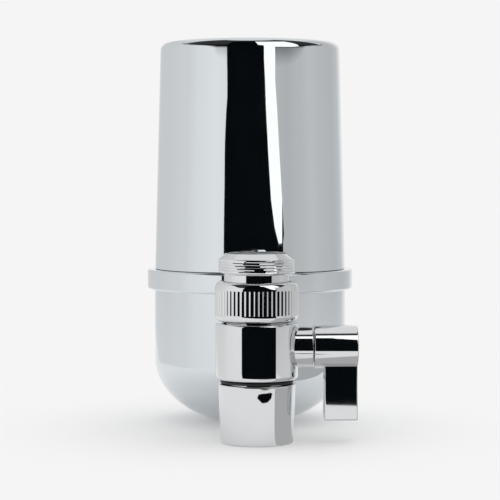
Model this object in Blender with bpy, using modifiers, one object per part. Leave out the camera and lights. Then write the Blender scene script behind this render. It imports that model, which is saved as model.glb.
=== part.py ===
"""Faucet mount water filter: a chromed two-part filter housing and the diverter valve that hangs it on a tap.

Metres, +Z up. The origin is the middle of the flat foot under the housing.
The diverter stands in front of the housing, on the -Y side, and its lever is on the +X side.
"""
import math

import bmesh
import bpy
from mathutils import Matrix, Vector

MM = 0.001
GAP = 0.3 * MM                     # clearance between neighbouring pieces
ROUND = 2.0 * math.pi
CORNER_BREAK = 0.5 * MM            # small chamfer on turned corners
CUT_MARGIN = 1.0 * MM              # how far a cutter runs past what it cuts
DISC_BORDER = 1.2 * MM             # solid border around a disc's holes

# Filter bowl, the lower half of the housing
BOWL_RADIUS = 32.1 * MM
BOWL_WALL = 2.7 * MM
DOME_RISE = 22.2 * MM              # height of the full half ellipse under the bowl
FOOT_CUT = 1.5 * MM                # how much of the dome's tip the flat foot takes off
DOME_FLOOR = 3.0 * MM              # wall under the inner dome
SEAT_RISE = 1.2 * MM               # flat seat above the inner dome's lowest point
SEAT_RADIUS = 10.5 * MM
COLLAR_REACH = 2.4 * MM            # how far the collar stands out of the bowl's side
COLLAR_HEIGHT = 6.7 * MM
COLLAR_EDGE = 0.7 * MM
BOWL_HEIGHT = 51.0 * MM            # from the foot to the collar's top

# Filter cap, the upper half of the housing
CAP_HEIGHT = 75.4 * MM
CAP_INSET = 0.1 * MM               # how far the cap's foot stays behind the bowl's side
CAP_TAPER = 2.0 * MM               # how much narrower the cap is at its top
CAP_FILLET = 2.75 * MM
CAP_WALL = 2.4 * MM
SKIRT_LENGTH = 9.0 * MM
SKIRT_WALL = 3.4 * MM

# Rubber rings: radius of each ring's own section
CAP_RING_SECTION = 0.8 * MM
CARTRIDGE_RING_SECTION = 0.7 * MM
UNION_RING_SECTION = 0.7 * MM
SPINDLE_RING_SECTION = 0.6 * MM

# Outlet seat and return tube inside the bowl
SEAT_BLOCK_RADIUS = 9.4 * MM
SEAT_BLOCK_HEIGHT = 4.6 * MM
SEAT_SPIGOT_RADIUS = 5.0 * MM
SEAT_SPIGOT_BORE = 2.6 * MM
SEAT_SPIGOT_TOP = 26.5 * MM
TUBE_RADIUS = 1.6 * MM
TUBE_WALL = 0.5 * MM
TUBE_BEND = 3.2 * MM
TUBE_STANDOFF = 0.6 * MM           # from the tube to the bowl's inner wall
TUBE_GRIP = 3.0 * MM               # how far the tube runs into the seat's block
TUBE_PORT_STEPS = 12

# Filter cartridge
CARTRIDGE_ROOM = 5.9 * MM          # water space from the bowl's bore to the cartridge
CARTRIDGE_FOOT = 18.6 * MM
CARTRIDGE_TOP_ROOM = 6.5 * MM      # free height under the cap's roof
END_CAP_FLOOR = 2.4 * MM
END_CAP_RIM = 7.0 * MM
END_CAP_WALL = 1.1 * MM
PLEAT_COUNT = 40
PLEAT_DEPTH = 1.1 * MM
PLEAT_WALL = 0.7 * MM
BLOCK_BORE = 6.6 * MM

# Diverter body
BODY_RADIUS = 12.8 * MM
BODY_HEIGHT = 17.5 * MM
BODY_TOP_EDGE = 0.6 * MM
BODY_FOOT_EDGE = 1.3 * MM
VALVE_RISE = 9.9 * MM              # from the body's underside to the valve's axis
BODY_NECK_RADIUS = 9.4 * MM
BODY_NECK_RISE = 0.9 * MM
CHAMBER_RADIUS = 4.7 * MM
CHAMBER_DEPTH = 8.5 * MM           # how far the valve chamber runs past the body's axis
PASSAGE_RADIUS = 4.2 * MM
SIDE_NECK_RADIUS = 6.23 * MM
SIDE_NECK_REACH = 17.2 * MM        # from the body's axis to the neck's end face
ROOT_OVERLAP = 2.2 * MM            # how far a branch runs into the body's wall

# Outlet below the body
OUTLET_HEIGHT = 18.3 * MM
OUTLET_STEP = 0.75 * MM            # from the body's side in to the outlet's top edge
OUTLET_TAPER = 0.75 * MM           # how much narrower the outlet is at its mouth
OUTLET_EDGE = 0.35 * MM
OUTLET_WASHER_HEIGHT = 0.7 * MM
OUTLET_WASHER_INSET = 0.75 * MM    # how far the rubber stays behind the outlet's side
OUTLET_SHOULDER = 2.45 * MM        # from the outlet's top edge in to its spigot
OUTLET_SPIGOT_RISE = 4.9 * MM
OUTLET_SPIGOT_WALL = 1.6 * MM
AERATOR_WALL = 1.9 * MM            # from the outlet's mouth in to the aerator
AERATOR_DEPTH = 8.5 * MM
AERATOR_SCREEN_HEIGHT = 0.6 * MM
AERATOR_RING_HEIGHT = 1.7 * MM
AERATOR_RING_WIDTH = 1.3 * MM
AERATOR_RING_INSET = 0.6 * MM
AERATOR_HOLE = 1.25 * MM
AERATOR_HOLE_PITCH = 3.3 * MM
AERATOR_SCREEN_BORDER = 2.1 * MM
AERATOR_SCREEN_BAR = 1.6 * MM      # between neighbouring holes

# Swivel joint above the body
SWIVEL_STEM_RADIUS = 7.2 * MM
SWIVEL_STEM_BORE = 5.2 * MM
SWIVEL_STEM_DEPTH = 3.7 * MM       # how far the sleeve screws down into the body
SWIVEL_FLANGE_RADIUS = 10.2 * MM
SWIVEL_FLANGE_HEIGHT = 1.5 * MM
SWIVEL_WASHER_HEIGHT = 1.8 * MM

# Knurled swivel nut
NUT_RADIUS = 13.0 * MM
NUT_HEIGHT = 11.1 * MM
NUT_COLLAR = 3.0 * MM              # thickness of the collar that the sleeve holds
NUT_TOP_CHAMFER = 1.6 * MM
NUT_TOP_CHAMFER_INSET = 1.0 * MM
NUT_FOOT_CHAMFER = 2.1 * MM
NUT_FOOT_CHAMFER_INSET = 1.5 * MM
RIB_COUNT = 54
RIB_GROOVE = 0.46 * MM             # depth of the valleys between the ribs
RIB_END = 0.15 * MM                # from the valleys' ends to the chamfers

# Threaded faucet adapter
ADAPTER_ROOT_RADIUS = 10.4 * MM    # the end that screws into the nut
ADAPTER_BAND_RADIUS = 10.1 * MM
ADAPTER_THREAD_RADIUS = 11.9 * MM
ADAPTER_BORE = 7.2 * MM
ADAPTER_ROOT_HEIGHT = 4.0 * MM
ADAPTER_BAND_HEIGHT = 2.7 * MM
ADAPTER_UNDERCUT = 0.9 * MM
ADAPTER_THREAD_HEIGHT = 4.0 * MM
ADAPTER_CHAMFER = 1.55 * MM
ADAPTER_RIM_RADIUS = 10.3 * MM
ADAPTER_RECESS_RADIUS = 9.2 * MM
ADAPTER_RECESS_DEPTH = 4.1 * MM
ADAPTER_WASHER_HEIGHT = 1.7 * MM
ADAPTER_WASHER_BORE = 6.4 * MM
INLET_SCREEN_HEIGHT = 0.5 * MM
INLET_SCREEN_HOLE = 1.5 * MM
INLET_SCREEN_PITCH = 4.2 * MM

# Valve spindle and its gland
DRUM_REACH = 10.0 * MM             # from the body's axis to the drum's shoulder
PORT_RADIUS = 2.5 * MM
RING_FROM_PORT = 6.4 * MM          # from the ports to each rubber ring
STEM_RADIUS = 2.6 * MM
DRIVE_SQUARE = 3.7 * MM
DRIVE_LENGTH = 6.5 * MM
DRIVE_ROOT = 0.6 * MM              # how far the square runs into the stem
GLAND_LENGTH = 3.6 * MM
SCREW_RADIUS = 1.2 * MM
SCREW_HEAD_RADIUS = 2.8 * MM
SCREW_HEAD_HEIGHT = 1.5 * MM
SCREW_GRIP = 4.0 * MM              # how far the screw goes into the spindle
SCREW_SLOT = 0.7 * MM

# Lever
BARREL_RADIUS = 6.63 * MM
BARREL_LENGTH = 13.6 * MM
BARREL_EDGE = 0.35 * MM
BARREL_WEB = 3.2 * MM              # wall between the drive socket and the screw's recess
RECESS_RADIUS = 4.0 * MM
COVER_HEIGHT = 1.2 * MM
COVER_EDGE = 0.3 * MM
BLADE_WIDTH = 10.3 * MM
BLADE_THICKNESS = 6.4 * MM
BLADE_DROP = 22.6 * MM             # from the valve's axis to the blade's end
BLADE_EDGE = 0.45 * MM
BLADE_ROOT = 1.7 * MM              # from the valve's axis down to the blade's hidden top

# Union between the diverter and the bowl
BOSS_RADIUS = 8.0 * MM
BOSS_REACH = 4.9 * MM              # how far the boss stands out of the bowl
UNION_STANDOFF = 4.2 * MM          # from the boss's face to the diverter body's side
BOSS_SOCKET_DEPTH = 3.2 * MM
BOSS_PASSAGE = 4.5 * MM
BOSS_ROOT = 0.8 * MM               # from the bowl's bore to the boss's hidden end
PASSAGE_RUN = 8.0 * MM             # how far the passage's cutter runs into the bowl
UNION_SPIGOT_RADIUS = 6.0 * MM
UNION_SPIGOT_BORE = 3.5 * MM
UNION_SPIGOT_DEPTH = 2.9 * MM      # how far the spigot goes into the boss
UNION_COLLAR_RADIUS = 7.9 * MM
UNION_COLLAR_HEIGHT = 1.6 * MM
UNION_LIP = 1.4 * MM
UNION_NUT_LENGTH = 6.7 * MM
UNION_NUT_FLATS = 19.4 * MM        # across the flats
UNION_NUT_CHAMFER = 0.8 * MM

# How finely round forms are cut
HOUSING_STEPS = 36
CARTRIDGE_STEPS = 24
VALVE_STEPS = 30
SMALL_STEPS = 16
RING_STEPS = 16
SECTION_STEPS = 6
BORE_STEPS = 14
SCREW_STEPS = 12
DOME_POINTS = 8
INNER_DOME_POINTS = 5
FILLET_POINTS = 2
SHARP_ANGLE = math.radians(32.0)

# Radii, heights and places that follow from the sizes above
DOME_CENTRE = DOME_RISE - FOOT_CUT
BOWL_BORE = BOWL_RADIUS - BOWL_WALL
COLLAR_RADIUS = BOWL_RADIUS + COLLAR_REACH
CAP_FOOT_RADIUS = BOWL_RADIUS - CAP_INSET
CAP_TOP_RADIUS = CAP_FOOT_RADIUS - CAP_TAPER
CARTRIDGE_RADIUS = BOWL_BORE - CARTRIDGE_ROOM
OUTLET_TOP_RADIUS = BODY_RADIUS - OUTLET_STEP
OUTLET_MOUTH_RADIUS = OUTLET_TOP_RADIUS - OUTLET_TAPER
OUTLET_SPIGOT_RADIUS = OUTLET_TOP_RADIUS - OUTLET_SHOULDER
OUTLET_BORE = OUTLET_SPIGOT_RADIUS - OUTLET_SPIGOT_WALL
AERATOR_RADIUS = OUTLET_MOUTH_RADIUS - AERATOR_WALL
AERATOR_RING_BORE = AERATOR_RADIUS - AERATOR_RING_WIDTH
AERATOR_SCREEN_PITCH = (AERATOR_RADIUS - AERATOR_SCREEN_BORDER + AERATOR_SCREEN_BAR / 2.0) / 1.5
AERATOR_SCREEN_HOLE = (AERATOR_SCREEN_PITCH - AERATOR_SCREEN_BAR) / 2.0
SEAT_TOP = DOME_FLOOR + SEAT_RISE
CAP_FOOT = BOWL_HEIGHT + GAP
CAP_TOP = CAP_FOOT + CAP_HEIGHT
SKIRT_RADIUS = BOWL_BORE - GAP
BODY_FOOT = OUTLET_HEIGHT + OUTLET_WASHER_HEIGHT + 2.0 * GAP
BODY_TOP = BODY_FOOT + BODY_HEIGHT
VALVE_HEIGHT = BODY_FOOT + VALVE_RISE
NUT_FOOT = BODY_TOP + BODY_NECK_RISE + GAP
NUT_TOP = NUT_FOOT + NUT_HEIGHT
FLANGE_FOOT = NUT_FOOT + NUT_COLLAR + GAP
FLANGE_TOP = FLANGE_FOOT + SWIVEL_FLANGE_HEIGHT
ADAPTER_FOOT = FLANGE_TOP + SWIVEL_WASHER_HEIGHT + 2.0 * GAP
ADAPTER_THREAD_FOOT = ADAPTER_FOOT + ADAPTER_ROOT_HEIGHT + ADAPTER_BAND_HEIGHT + ADAPTER_UNDERCUT
ADAPTER_TOP = ADAPTER_THREAD_FOOT + ADAPTER_THREAD_HEIGHT + ADAPTER_CHAMFER
BOSS_FACE = BOWL_RADIUS + BOSS_REACH
DIVERTER_OFFSET = BOSS_FACE + UNION_STANDOFF + BODY_RADIUS    # between the two upright axes
LEVER_START = SIDE_NECK_REACH + GAP
LEVER_END = LEVER_START + BARREL_LENGTH
DRIVE_START = SIDE_NECK_REACH
DRIVE_END = DRIVE_START + DRIVE_LENGTH
RECESS_FLOOR = DRIVE_END + GAP + BARREL_WEB
CARTRIDGE_TOP = CAP_TOP - CAP_WALL - CARTRIDGE_TOP_ROOM
BLOCK_FOOT = CARTRIDGE_FOOT + END_CAP_FLOOR + GAP
BLOCK_TOP = CARTRIDGE_TOP - END_CAP_FLOOR - GAP
SLEEVE_RADIUS = CARTRIDGE_RADIUS - END_CAP_WALL - GAP
BLOCK_RADIUS = SLEEVE_RADIUS - PLEAT_DEPTH - PLEAT_WALL - GAP

DIVERTER_AXIS = Vector((0.0, -DIVERTER_OFFSET, 0.0))
VALVE_CENTRE = Vector((0.0, -DIVERTER_OFFSET, VALVE_HEIGHT))
HOUSING_AXIS = Vector((0.0, 0.0, 0.0))
UPRIGHT = (0.0, 0.0, 0.0)
ALONG_X = (0.0, math.pi / 2.0, 0.0)        # a turned piece's height then runs towards +X
ALONG_Y = (-math.pi / 2.0, 0.0, 0.0)       # a turned piece's height then runs towards +Y

for leftover in list(bpy.data.objects):
    bpy.data.objects.remove(leftover)

parts = bpy.data.collections.new("faucet_water_filter")
cutters = bpy.data.collections.new("cutters")
for collection in (parts, cutters):
    bpy.context.scene.collection.children.link(collection)


def make_material(name, colour, roughness, metallic):
    """A plain Principled material."""
    material = bpy.data.materials.new(name)
    material.use_nodes = True
    shader = material.node_tree.nodes["Principled BSDF"]
    shader.inputs["Base Color"].default_value = (*colour, 1.0)
    shader.inputs["Roughness"].default_value = roughness
    shader.inputs["Metallic"].default_value = metallic
    material.diffuse_color = (*colour, 1.0)
    return material


CHROME = make_material("polished_chrome", (0.86, 0.87, 0.88), 0.06, 1.0)
RUBBER = make_material("black_rubber", (0.02, 0.02, 0.02), 0.6, 0.0)
SILICONE = make_material("grey_silicone", (0.35, 0.36, 0.37), 0.5, 0.0)
WHITE_PLASTIC = make_material("white_plastic", (0.85, 0.85, 0.83), 0.4, 0.0)
CARBON = make_material("pressed_carbon", (0.03, 0.03, 0.03), 0.9, 0.0)
FLEECE = make_material("white_fleece", (0.88, 0.87, 0.83), 0.95, 0.0)
BRASS = make_material("bare_brass", (0.72, 0.55, 0.28), 0.3, 1.0)
STEEL = make_material("stainless_steel", (0.6, 0.6, 0.6), 0.3, 1.0)


def add_object(name, mesh, material=None, place=HOUSING_AXIS, turn=UPRIGHT):
    """Put a mesh in the scene, as a part if it has a material and as a cutter if not."""
    piece = bpy.data.objects.new(name, mesh)
    piece.location = place
    piece.rotation_euler = turn
    if material is None:
        cutters.objects.link(piece)
        piece.hide_render = True
        piece.display_type = "WIRE"
    else:
        parts.objects.link(piece)
        mesh.materials.append(material)
    return piece


def turned(name, profile, material=None, place=HOUSING_AXIS, turn=UPRIGHT, steps=VALVE_STEPS):
    """Turn a profile of (radius, height) points, which runs down its outer side, about its own axis.

    A profile that starts on the axis makes a solid, and any other is closed into a ring.
    """
    mesh = bpy.data.meshes.new(name)
    count = len(profile)
    edges = [(i, i + 1) for i in range(count - 1)]
    if profile[0][0] > 0.0:
        edges.append((count - 1, 0))
    mesh.from_pydata([(radius, 0.0, height) for radius, height in profile], edges, [])
    piece = add_object(name, mesh, material, place, turn)
    screw = piece.modifiers.new("turn", "SCREW")
    screw.steps = steps
    screw.render_steps = steps
    screw.use_merge_vertices = True
    screw.merge_threshold = 1e-6
    return piece


def rod(name, radius, low, high, place=HOUSING_AXIS, turn=UPRIGHT, steps=BORE_STEPS, material=None):
    """A plain round rod from one height to another."""
    profile = [(0.0, high), (radius, high), (radius, low), (0.0, low)]
    return turned(name, profile, material, place, turn, steps)


def tube_ring(name, outer, inner, low, high, material, place, turn=UPRIGHT, steps=VALVE_STEPS):
    """A plain ring with a square section."""
    profile = [(outer, high), (outer, low), (inner, low), (inner, high)]
    return turned(name, profile, material, place, turn, steps)


def seal_ring(name, outer, section, height, place, turn=UPRIGHT, steps=RING_STEPS):
    """A round rubber ring, by its outer radius and the radius of its section."""
    middle = outer - section
    profile = []
    for i in range(SECTION_STEPS):
        angle = ROUND * i / SECTION_STEPS
        profile.append((middle + section * math.cos(angle), height - section * math.sin(angle)))
    return turned(name, profile, RUBBER, place, turn, steps)


def ring_groove(outer, section, height):
    """The four profile points, down an outer side, of the groove that holds a rubber ring."""
    half = section + GAP
    floor = outer - 2.0 * section - GAP
    return [(outer, height + half), (floor, height + half), (floor, height - half), (outer, height - half)]


def arc(centre, radii, start, end, count):
    """Points on an ellipse about a centre in the profile's plane, angles in degrees from +radius."""
    points = []
    for i in range(count + 1):
        angle = math.radians(start + (end - start) * i / count)
        points.append((centre[0] + radii[0] * math.cos(angle), centre[1] + radii[1] * math.sin(angle)))
    return points


def combine(piece, operand, operation):
    """Cut, join or intersect a piece with a cutter."""
    step = piece.modifiers.new(operand.name, "BOOLEAN")
    step.object = operand
    step.operation = operation
    step.solver = "EXACT"


def rods_cutter(name, places, radius, low, high, sides, twist=0.0, centre=HOUSING_AXIS):
    """One cutter made of many upright rods, each at an (x, y, angle) of its own."""
    mesh = bpy.data.meshes.new(name)
    shape = bmesh.new()
    for x, y, angle in places:
        spot = Matrix.Translation((x, y, (low + high) / 2.0)) @ Matrix.Rotation(angle + twist, 4, "Z")
        bmesh.ops.create_cone(
            shape, cap_ends=True, segments=sides, radius1=radius, radius2=radius, depth=high - low,
            matrix=spot)
    shape.to_mesh(mesh)
    shape.free()
    return add_object(name, mesh, place=centre)


def box_mesh(name, low, high):
    """A box between two corners."""
    mesh = bpy.data.meshes.new(name)
    shape = bmesh.new()
    size = Vector(high) - Vector(low)
    middle = (Vector(high) + Vector(low)) / 2.0
    spot = Matrix.Translation(middle) @ Matrix.Diagonal((*size, 1.0))
    bmesh.ops.create_cube(shape, size=1.0, matrix=spot)
    shape.to_mesh(mesh)
    shape.free()
    return mesh


def hexagon_grid(pitch, limit):
    """Places on a hexagonal grid that lie within a radius."""
    spots = []
    reach = int(limit / pitch) + 1
    for row in range(-reach, reach + 1):
        for column in range(-reach, reach + 1):
            x = pitch * (column + 0.5 * (row % 2))
            y = pitch * row * math.sqrt(3.0) / 2.0
            if math.hypot(x, y) <= limit:
                spots.append((x, y, 0.0))
    return spots


def perforated_disc(name, radius, low, high, hole, pitch, material, place):
    """A disc with a hexagonal grid of holes."""
    disc = rod(name, radius, low, high, place, steps=SMALL_STEPS, material=material)
    spots = hexagon_grid(pitch, radius - hole - DISC_BORDER)
    holes = rods_cutter(name + "_holes", spots, hole, low - CUT_MARGIN, high + CUT_MARGIN, 6, centre=place)
    combine(disc, holes, "DIFFERENCE")
    return disc


def make_bowl():
    """Lower housing: domed bowl, outer collar, and the boss that takes the diverter's spigot."""
    inner_rise = DOME_CENTRE - DOME_FLOOR
    seat_angle = math.degrees(math.acos(SEAT_RADIUS / BOWL_BORE))
    foot_angle = math.degrees(math.asin(DOME_CENTRE / DOME_RISE))
    collar_foot = BOWL_HEIGHT - COLLAR_HEIGHT
    profile = [(0.0, SEAT_TOP), (SEAT_RADIUS - CORNER_BREAK, SEAT_TOP)]
    profile += arc((0.0, DOME_CENTRE), (BOWL_BORE, inner_rise), -seat_angle, 0.0, INNER_DOME_POINTS)
    profile += [
        (BOWL_BORE, BOWL_HEIGHT - CORNER_BREAK),
        (BOWL_BORE + CORNER_BREAK, BOWL_HEIGHT),
        (COLLAR_RADIUS - COLLAR_EDGE, BOWL_HEIGHT),
        (COLLAR_RADIUS, BOWL_HEIGHT - COLLAR_EDGE),
        (COLLAR_RADIUS, collar_foot + COLLAR_EDGE),
        (COLLAR_RADIUS - COLLAR_EDGE, collar_foot),
        (BOWL_RADIUS, collar_foot),
    ]
    profile += arc((0.0, DOME_CENTRE), (BOWL_RADIUS, DOME_RISE), 0.0, -foot_angle, DOME_POINTS)
    profile += [(0.0, 0.0)]
    bowl = turned("filter_bowl", profile, CHROME, steps=HOUSING_STEPS)

    level = Vector((0.0, 0.0, VALVE_HEIGHT))
    boss = rod("bowl_boss", BOSS_RADIUS, -BOSS_FACE, -BOWL_BORE - BOSS_ROOT, level, ALONG_Y, SMALL_STEPS)
    combine(bowl, boss, "UNION")
    socket_radius = UNION_SPIGOT_RADIUS + GAP
    mouth = -BOSS_FACE - CUT_MARGIN
    socket = rod("bowl_socket", socket_radius, mouth, BOSS_SOCKET_DEPTH - BOSS_FACE, level, ALONG_Y)
    combine(bowl, socket, "DIFFERENCE")
    passage = rod("bowl_passage", BOSS_PASSAGE, mouth, PASSAGE_RUN - BOWL_BORE, level, ALONG_Y)
    combine(bowl, passage, "DIFFERENCE")


def make_cap():
    """Upper housing: a tapered cap with a filleted crown and a skirt that screws into the bowl."""
    skirt_foot = CAP_FOOT - SKIRT_LENGTH
    skirt_inner = SKIRT_RADIUS - SKIRT_WALL
    roof = CAP_TOP - CAP_WALL
    crown = (CAP_TOP_RADIUS - CAP_FILLET, CAP_TOP - CAP_FILLET)
    inner_top = CAP_TOP_RADIUS - CAP_WALL
    profile = [(0.0, CAP_TOP)]
    profile += arc(crown, (CAP_FILLET, CAP_FILLET), 90.0, 0.0, 2 * FILLET_POINTS)
    profile += [
        (CAP_FOOT_RADIUS, CAP_FOOT + CORNER_BREAK),
        (CAP_FOOT_RADIUS - CORNER_BREAK, CAP_FOOT),
        (SKIRT_RADIUS, CAP_FOOT),
    ]
    profile += ring_groove(SKIRT_RADIUS, CAP_RING_SECTION, skirt_foot + 3.0 * CAP_RING_SECTION)
    profile += [
        (SKIRT_RADIUS, skirt_foot + CORNER_BREAK),
        (SKIRT_RADIUS - CORNER_BREAK, skirt_foot),
        (skirt_inner, skirt_foot),
        (skirt_inner, CAP_FOOT + CAP_WALL),
        (CAP_FOOT_RADIUS - CAP_WALL - CORNER_BREAK, CAP_FOOT + CAP_WALL + SKIRT_WALL),
        (inner_top, roof - CORNER_BREAK),
        (inner_top - CORNER_BREAK, roof),
        (0.0, roof),
    ]
    turned("filter_cap", profile, CHROME, steps=HOUSING_STEPS)
    ring_height = skirt_foot + 3.0 * CAP_RING_SECTION
    seal_ring("cap_seal_ring", SKIRT_RADIUS, CAP_RING_SECTION, ring_height, HOUSING_AXIS, steps=HOUSING_STEPS)


def make_outlet_seat():
    """Block on the bowl's floor whose spigot carries the cartridge and leads into the return tube."""
    foot = SEAT_TOP + GAP
    top = foot + SEAT_BLOCK_HEIGHT
    tube_height = foot + SEAT_BLOCK_HEIGHT / 2.0
    ring_height = SEAT_SPIGOT_TOP - 3.0 * CARTRIDGE_RING_SECTION
    profile = [
        (0.0, tube_height),
        (SEAT_SPIGOT_BORE, tube_height),
        (SEAT_SPIGOT_BORE, SEAT_SPIGOT_TOP),
        (SEAT_SPIGOT_RADIUS - CORNER_BREAK, SEAT_SPIGOT_TOP),
        (SEAT_SPIGOT_RADIUS, SEAT_SPIGOT_TOP - CORNER_BREAK),
    ]
    profile += ring_groove(SEAT_SPIGOT_RADIUS, CARTRIDGE_RING_SECTION, ring_height)
    profile += [
        (SEAT_SPIGOT_RADIUS, top),
        (SEAT_BLOCK_RADIUS - CORNER_BREAK, top),
        (SEAT_BLOCK_RADIUS, top - CORNER_BREAK),
        (SEAT_BLOCK_RADIUS, foot),
        (0.0, foot),
    ]
    seat = turned("outlet_seat", profile, WHITE_PLASTIC, steps=BORE_STEPS)
    side_port = rod(
        "seat_side_port", TUBE_RADIUS + GAP, -SEAT_BLOCK_RADIUS - CUT_MARGIN, 0.0,
        Vector((0.0, 0.0, tube_height)), ALONG_Y, TUBE_PORT_STEPS)
    combine(seat, side_port, "DIFFERENCE")
    seal_ring("cartridge_seal_ring", SEAT_SPIGOT_RADIUS, CARTRIDGE_RING_SECTION, ring_height, HOUSING_AXIS)
    return tube_height


def make_return_tube(start_height):
    """Tube that brings the filtered water back: along the dome, up the wall and out through the union."""
    stand = TUBE_RADIUS + TUBE_STANDOFF
    across = BOWL_BORE - stand
    rise = DOME_CENTRE - DOME_FLOOR - stand
    joins = math.degrees(math.acos(min(1.0, (DOME_CENTRE - start_height) / rise)))
    seat_end = SEAT_BLOCK_RADIUS - TUBE_GRIP
    route = [(seat_end, start_height)]
    route += arc((0.0, DOME_CENTRE), (across, rise), joins - 90.0, 0.0, DOME_POINTS)
    bend = (across + TUBE_BEND, VALVE_HEIGHT - TUBE_BEND)
    route += arc(bend, (TUBE_BEND, TUBE_BEND), 180.0, 90.0, 2 * FILLET_POINTS)
    route += [(DIVERTER_OFFSET - BODY_RADIUS + ROOT_OVERLAP, VALVE_HEIGHT)]
    curve = bpy.data.curves.new("return_tube", "CURVE")
    curve.dimensions = "3D"
    curve.bevel_depth = TUBE_RADIUS
    curve.bevel_resolution = 1
    spline = curve.splines.new("POLY")
    spline.points.add(len(route) - 1)
    for point, (radius, height) in zip(spline.points, route):
        point.co = (0.0, -radius, height, 1.0)
    guide = bpy.data.objects.new("return_tube_route", curve)
    cutters.objects.link(guide)
    bpy.context.view_layer.update()
    mesh = bpy.data.meshes.new_from_object(guide.evaluated_get(bpy.context.evaluated_depsgraph_get()))
    bpy.data.objects.remove(guide)
    mesh.materials.clear()
    tube = add_object("return_tube", mesh, STEEL)
    wall = tube.modifiers.new("wall", "SOLIDIFY")
    wall.thickness = TUBE_WALL
    wall.offset = -1.0


def make_cartridge():
    """Carbon block in a pleated sleeve, between two end caps, standing on the outlet seat."""
    socket = SEAT_SPIGOT_RADIUS + GAP
    rim = CARTRIDGE_RADIUS - END_CAP_WALL
    socket_roof = SEAT_SPIGOT_TOP + GAP
    socket_wall = BLOCK_BORE - GAP
    base_profile = [
        (socket, CARTRIDGE_FOOT),
        (socket, socket_roof),
        (socket_wall, socket_roof),
        (socket_wall, CARTRIDGE_FOOT + END_CAP_FLOOR),
        (rim, CARTRIDGE_FOOT + END_CAP_FLOOR),
        (rim, CARTRIDGE_FOOT + END_CAP_RIM),
        (CARTRIDGE_RADIUS, CARTRIDGE_FOOT + END_CAP_RIM),
        (CARTRIDGE_RADIUS, CARTRIDGE_FOOT + CORNER_BREAK),
        (CARTRIDGE_RADIUS - CORNER_BREAK, CARTRIDGE_FOOT),
    ]
    turned("cartridge_base", base_profile, WHITE_PLASTIC, steps=CARTRIDGE_STEPS)
    top_profile = [
        (0.0, CARTRIDGE_TOP),
        (CARTRIDGE_RADIUS - CORNER_BREAK, CARTRIDGE_TOP),
        (CARTRIDGE_RADIUS, CARTRIDGE_TOP - CORNER_BREAK),
        (CARTRIDGE_RADIUS, CARTRIDGE_TOP - END_CAP_RIM),
        (rim, CARTRIDGE_TOP - END_CAP_RIM),
        (rim, CARTRIDGE_TOP - END_CAP_FLOOR),
        (socket_wall, CARTRIDGE_TOP - END_CAP_FLOOR),
        (socket_wall, CARTRIDGE_TOP - END_CAP_RIM),
        (0.0, CARTRIDGE_TOP - END_CAP_RIM),
    ]
    turned("cartridge_top", top_profile, WHITE_PLASTIC, steps=CARTRIDGE_STEPS)
    tube_ring(
        "carbon_block", BLOCK_RADIUS, BLOCK_BORE, BLOCK_FOOT, BLOCK_TOP, CARBON, HOUSING_AXIS,
        steps=SMALL_STEPS)

    curve = bpy.data.curves.new("sediment_sleeve", "CURVE")
    curve.dimensions = "2D"
    curve.fill_mode = "BOTH"
    curve.extrude = (BLOCK_TOP - BLOCK_FOOT) / 2.0
    for inset in (0.0, PLEAT_WALL):
        spline = curve.splines.new("POLY")
        spline.use_cyclic_u = True
        spline.points.add(2 * PLEAT_COUNT - 1)
        for i, point in enumerate(spline.points):
            radius = SLEEVE_RADIUS - inset - PLEAT_DEPTH * (i % 2)
            angle = ROUND * i / (2 * PLEAT_COUNT)
            point.co = (radius * math.cos(angle), radius * math.sin(angle), 0.0, 1.0)
    outline = bpy.data.objects.new("sleeve_outline", curve)
    cutters.objects.link(outline)
    bpy.context.view_layer.update()
    mesh = bpy.data.meshes.new_from_object(outline.evaluated_get(bpy.context.evaluated_depsgraph_get()))
    bpy.data.objects.remove(outline)
    shape = bmesh.new()
    shape.from_mesh(mesh)
    bmesh.ops.remove_doubles(shape, verts=shape.verts, dist=1e-6)
    shape.to_mesh(mesh)
    shape.free()
    mesh.materials.clear()
    add_object("sediment_sleeve", mesh, FLEECE, Vector((0.0, 0.0, (BLOCK_TOP + BLOCK_FOOT) / 2.0)))


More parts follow.
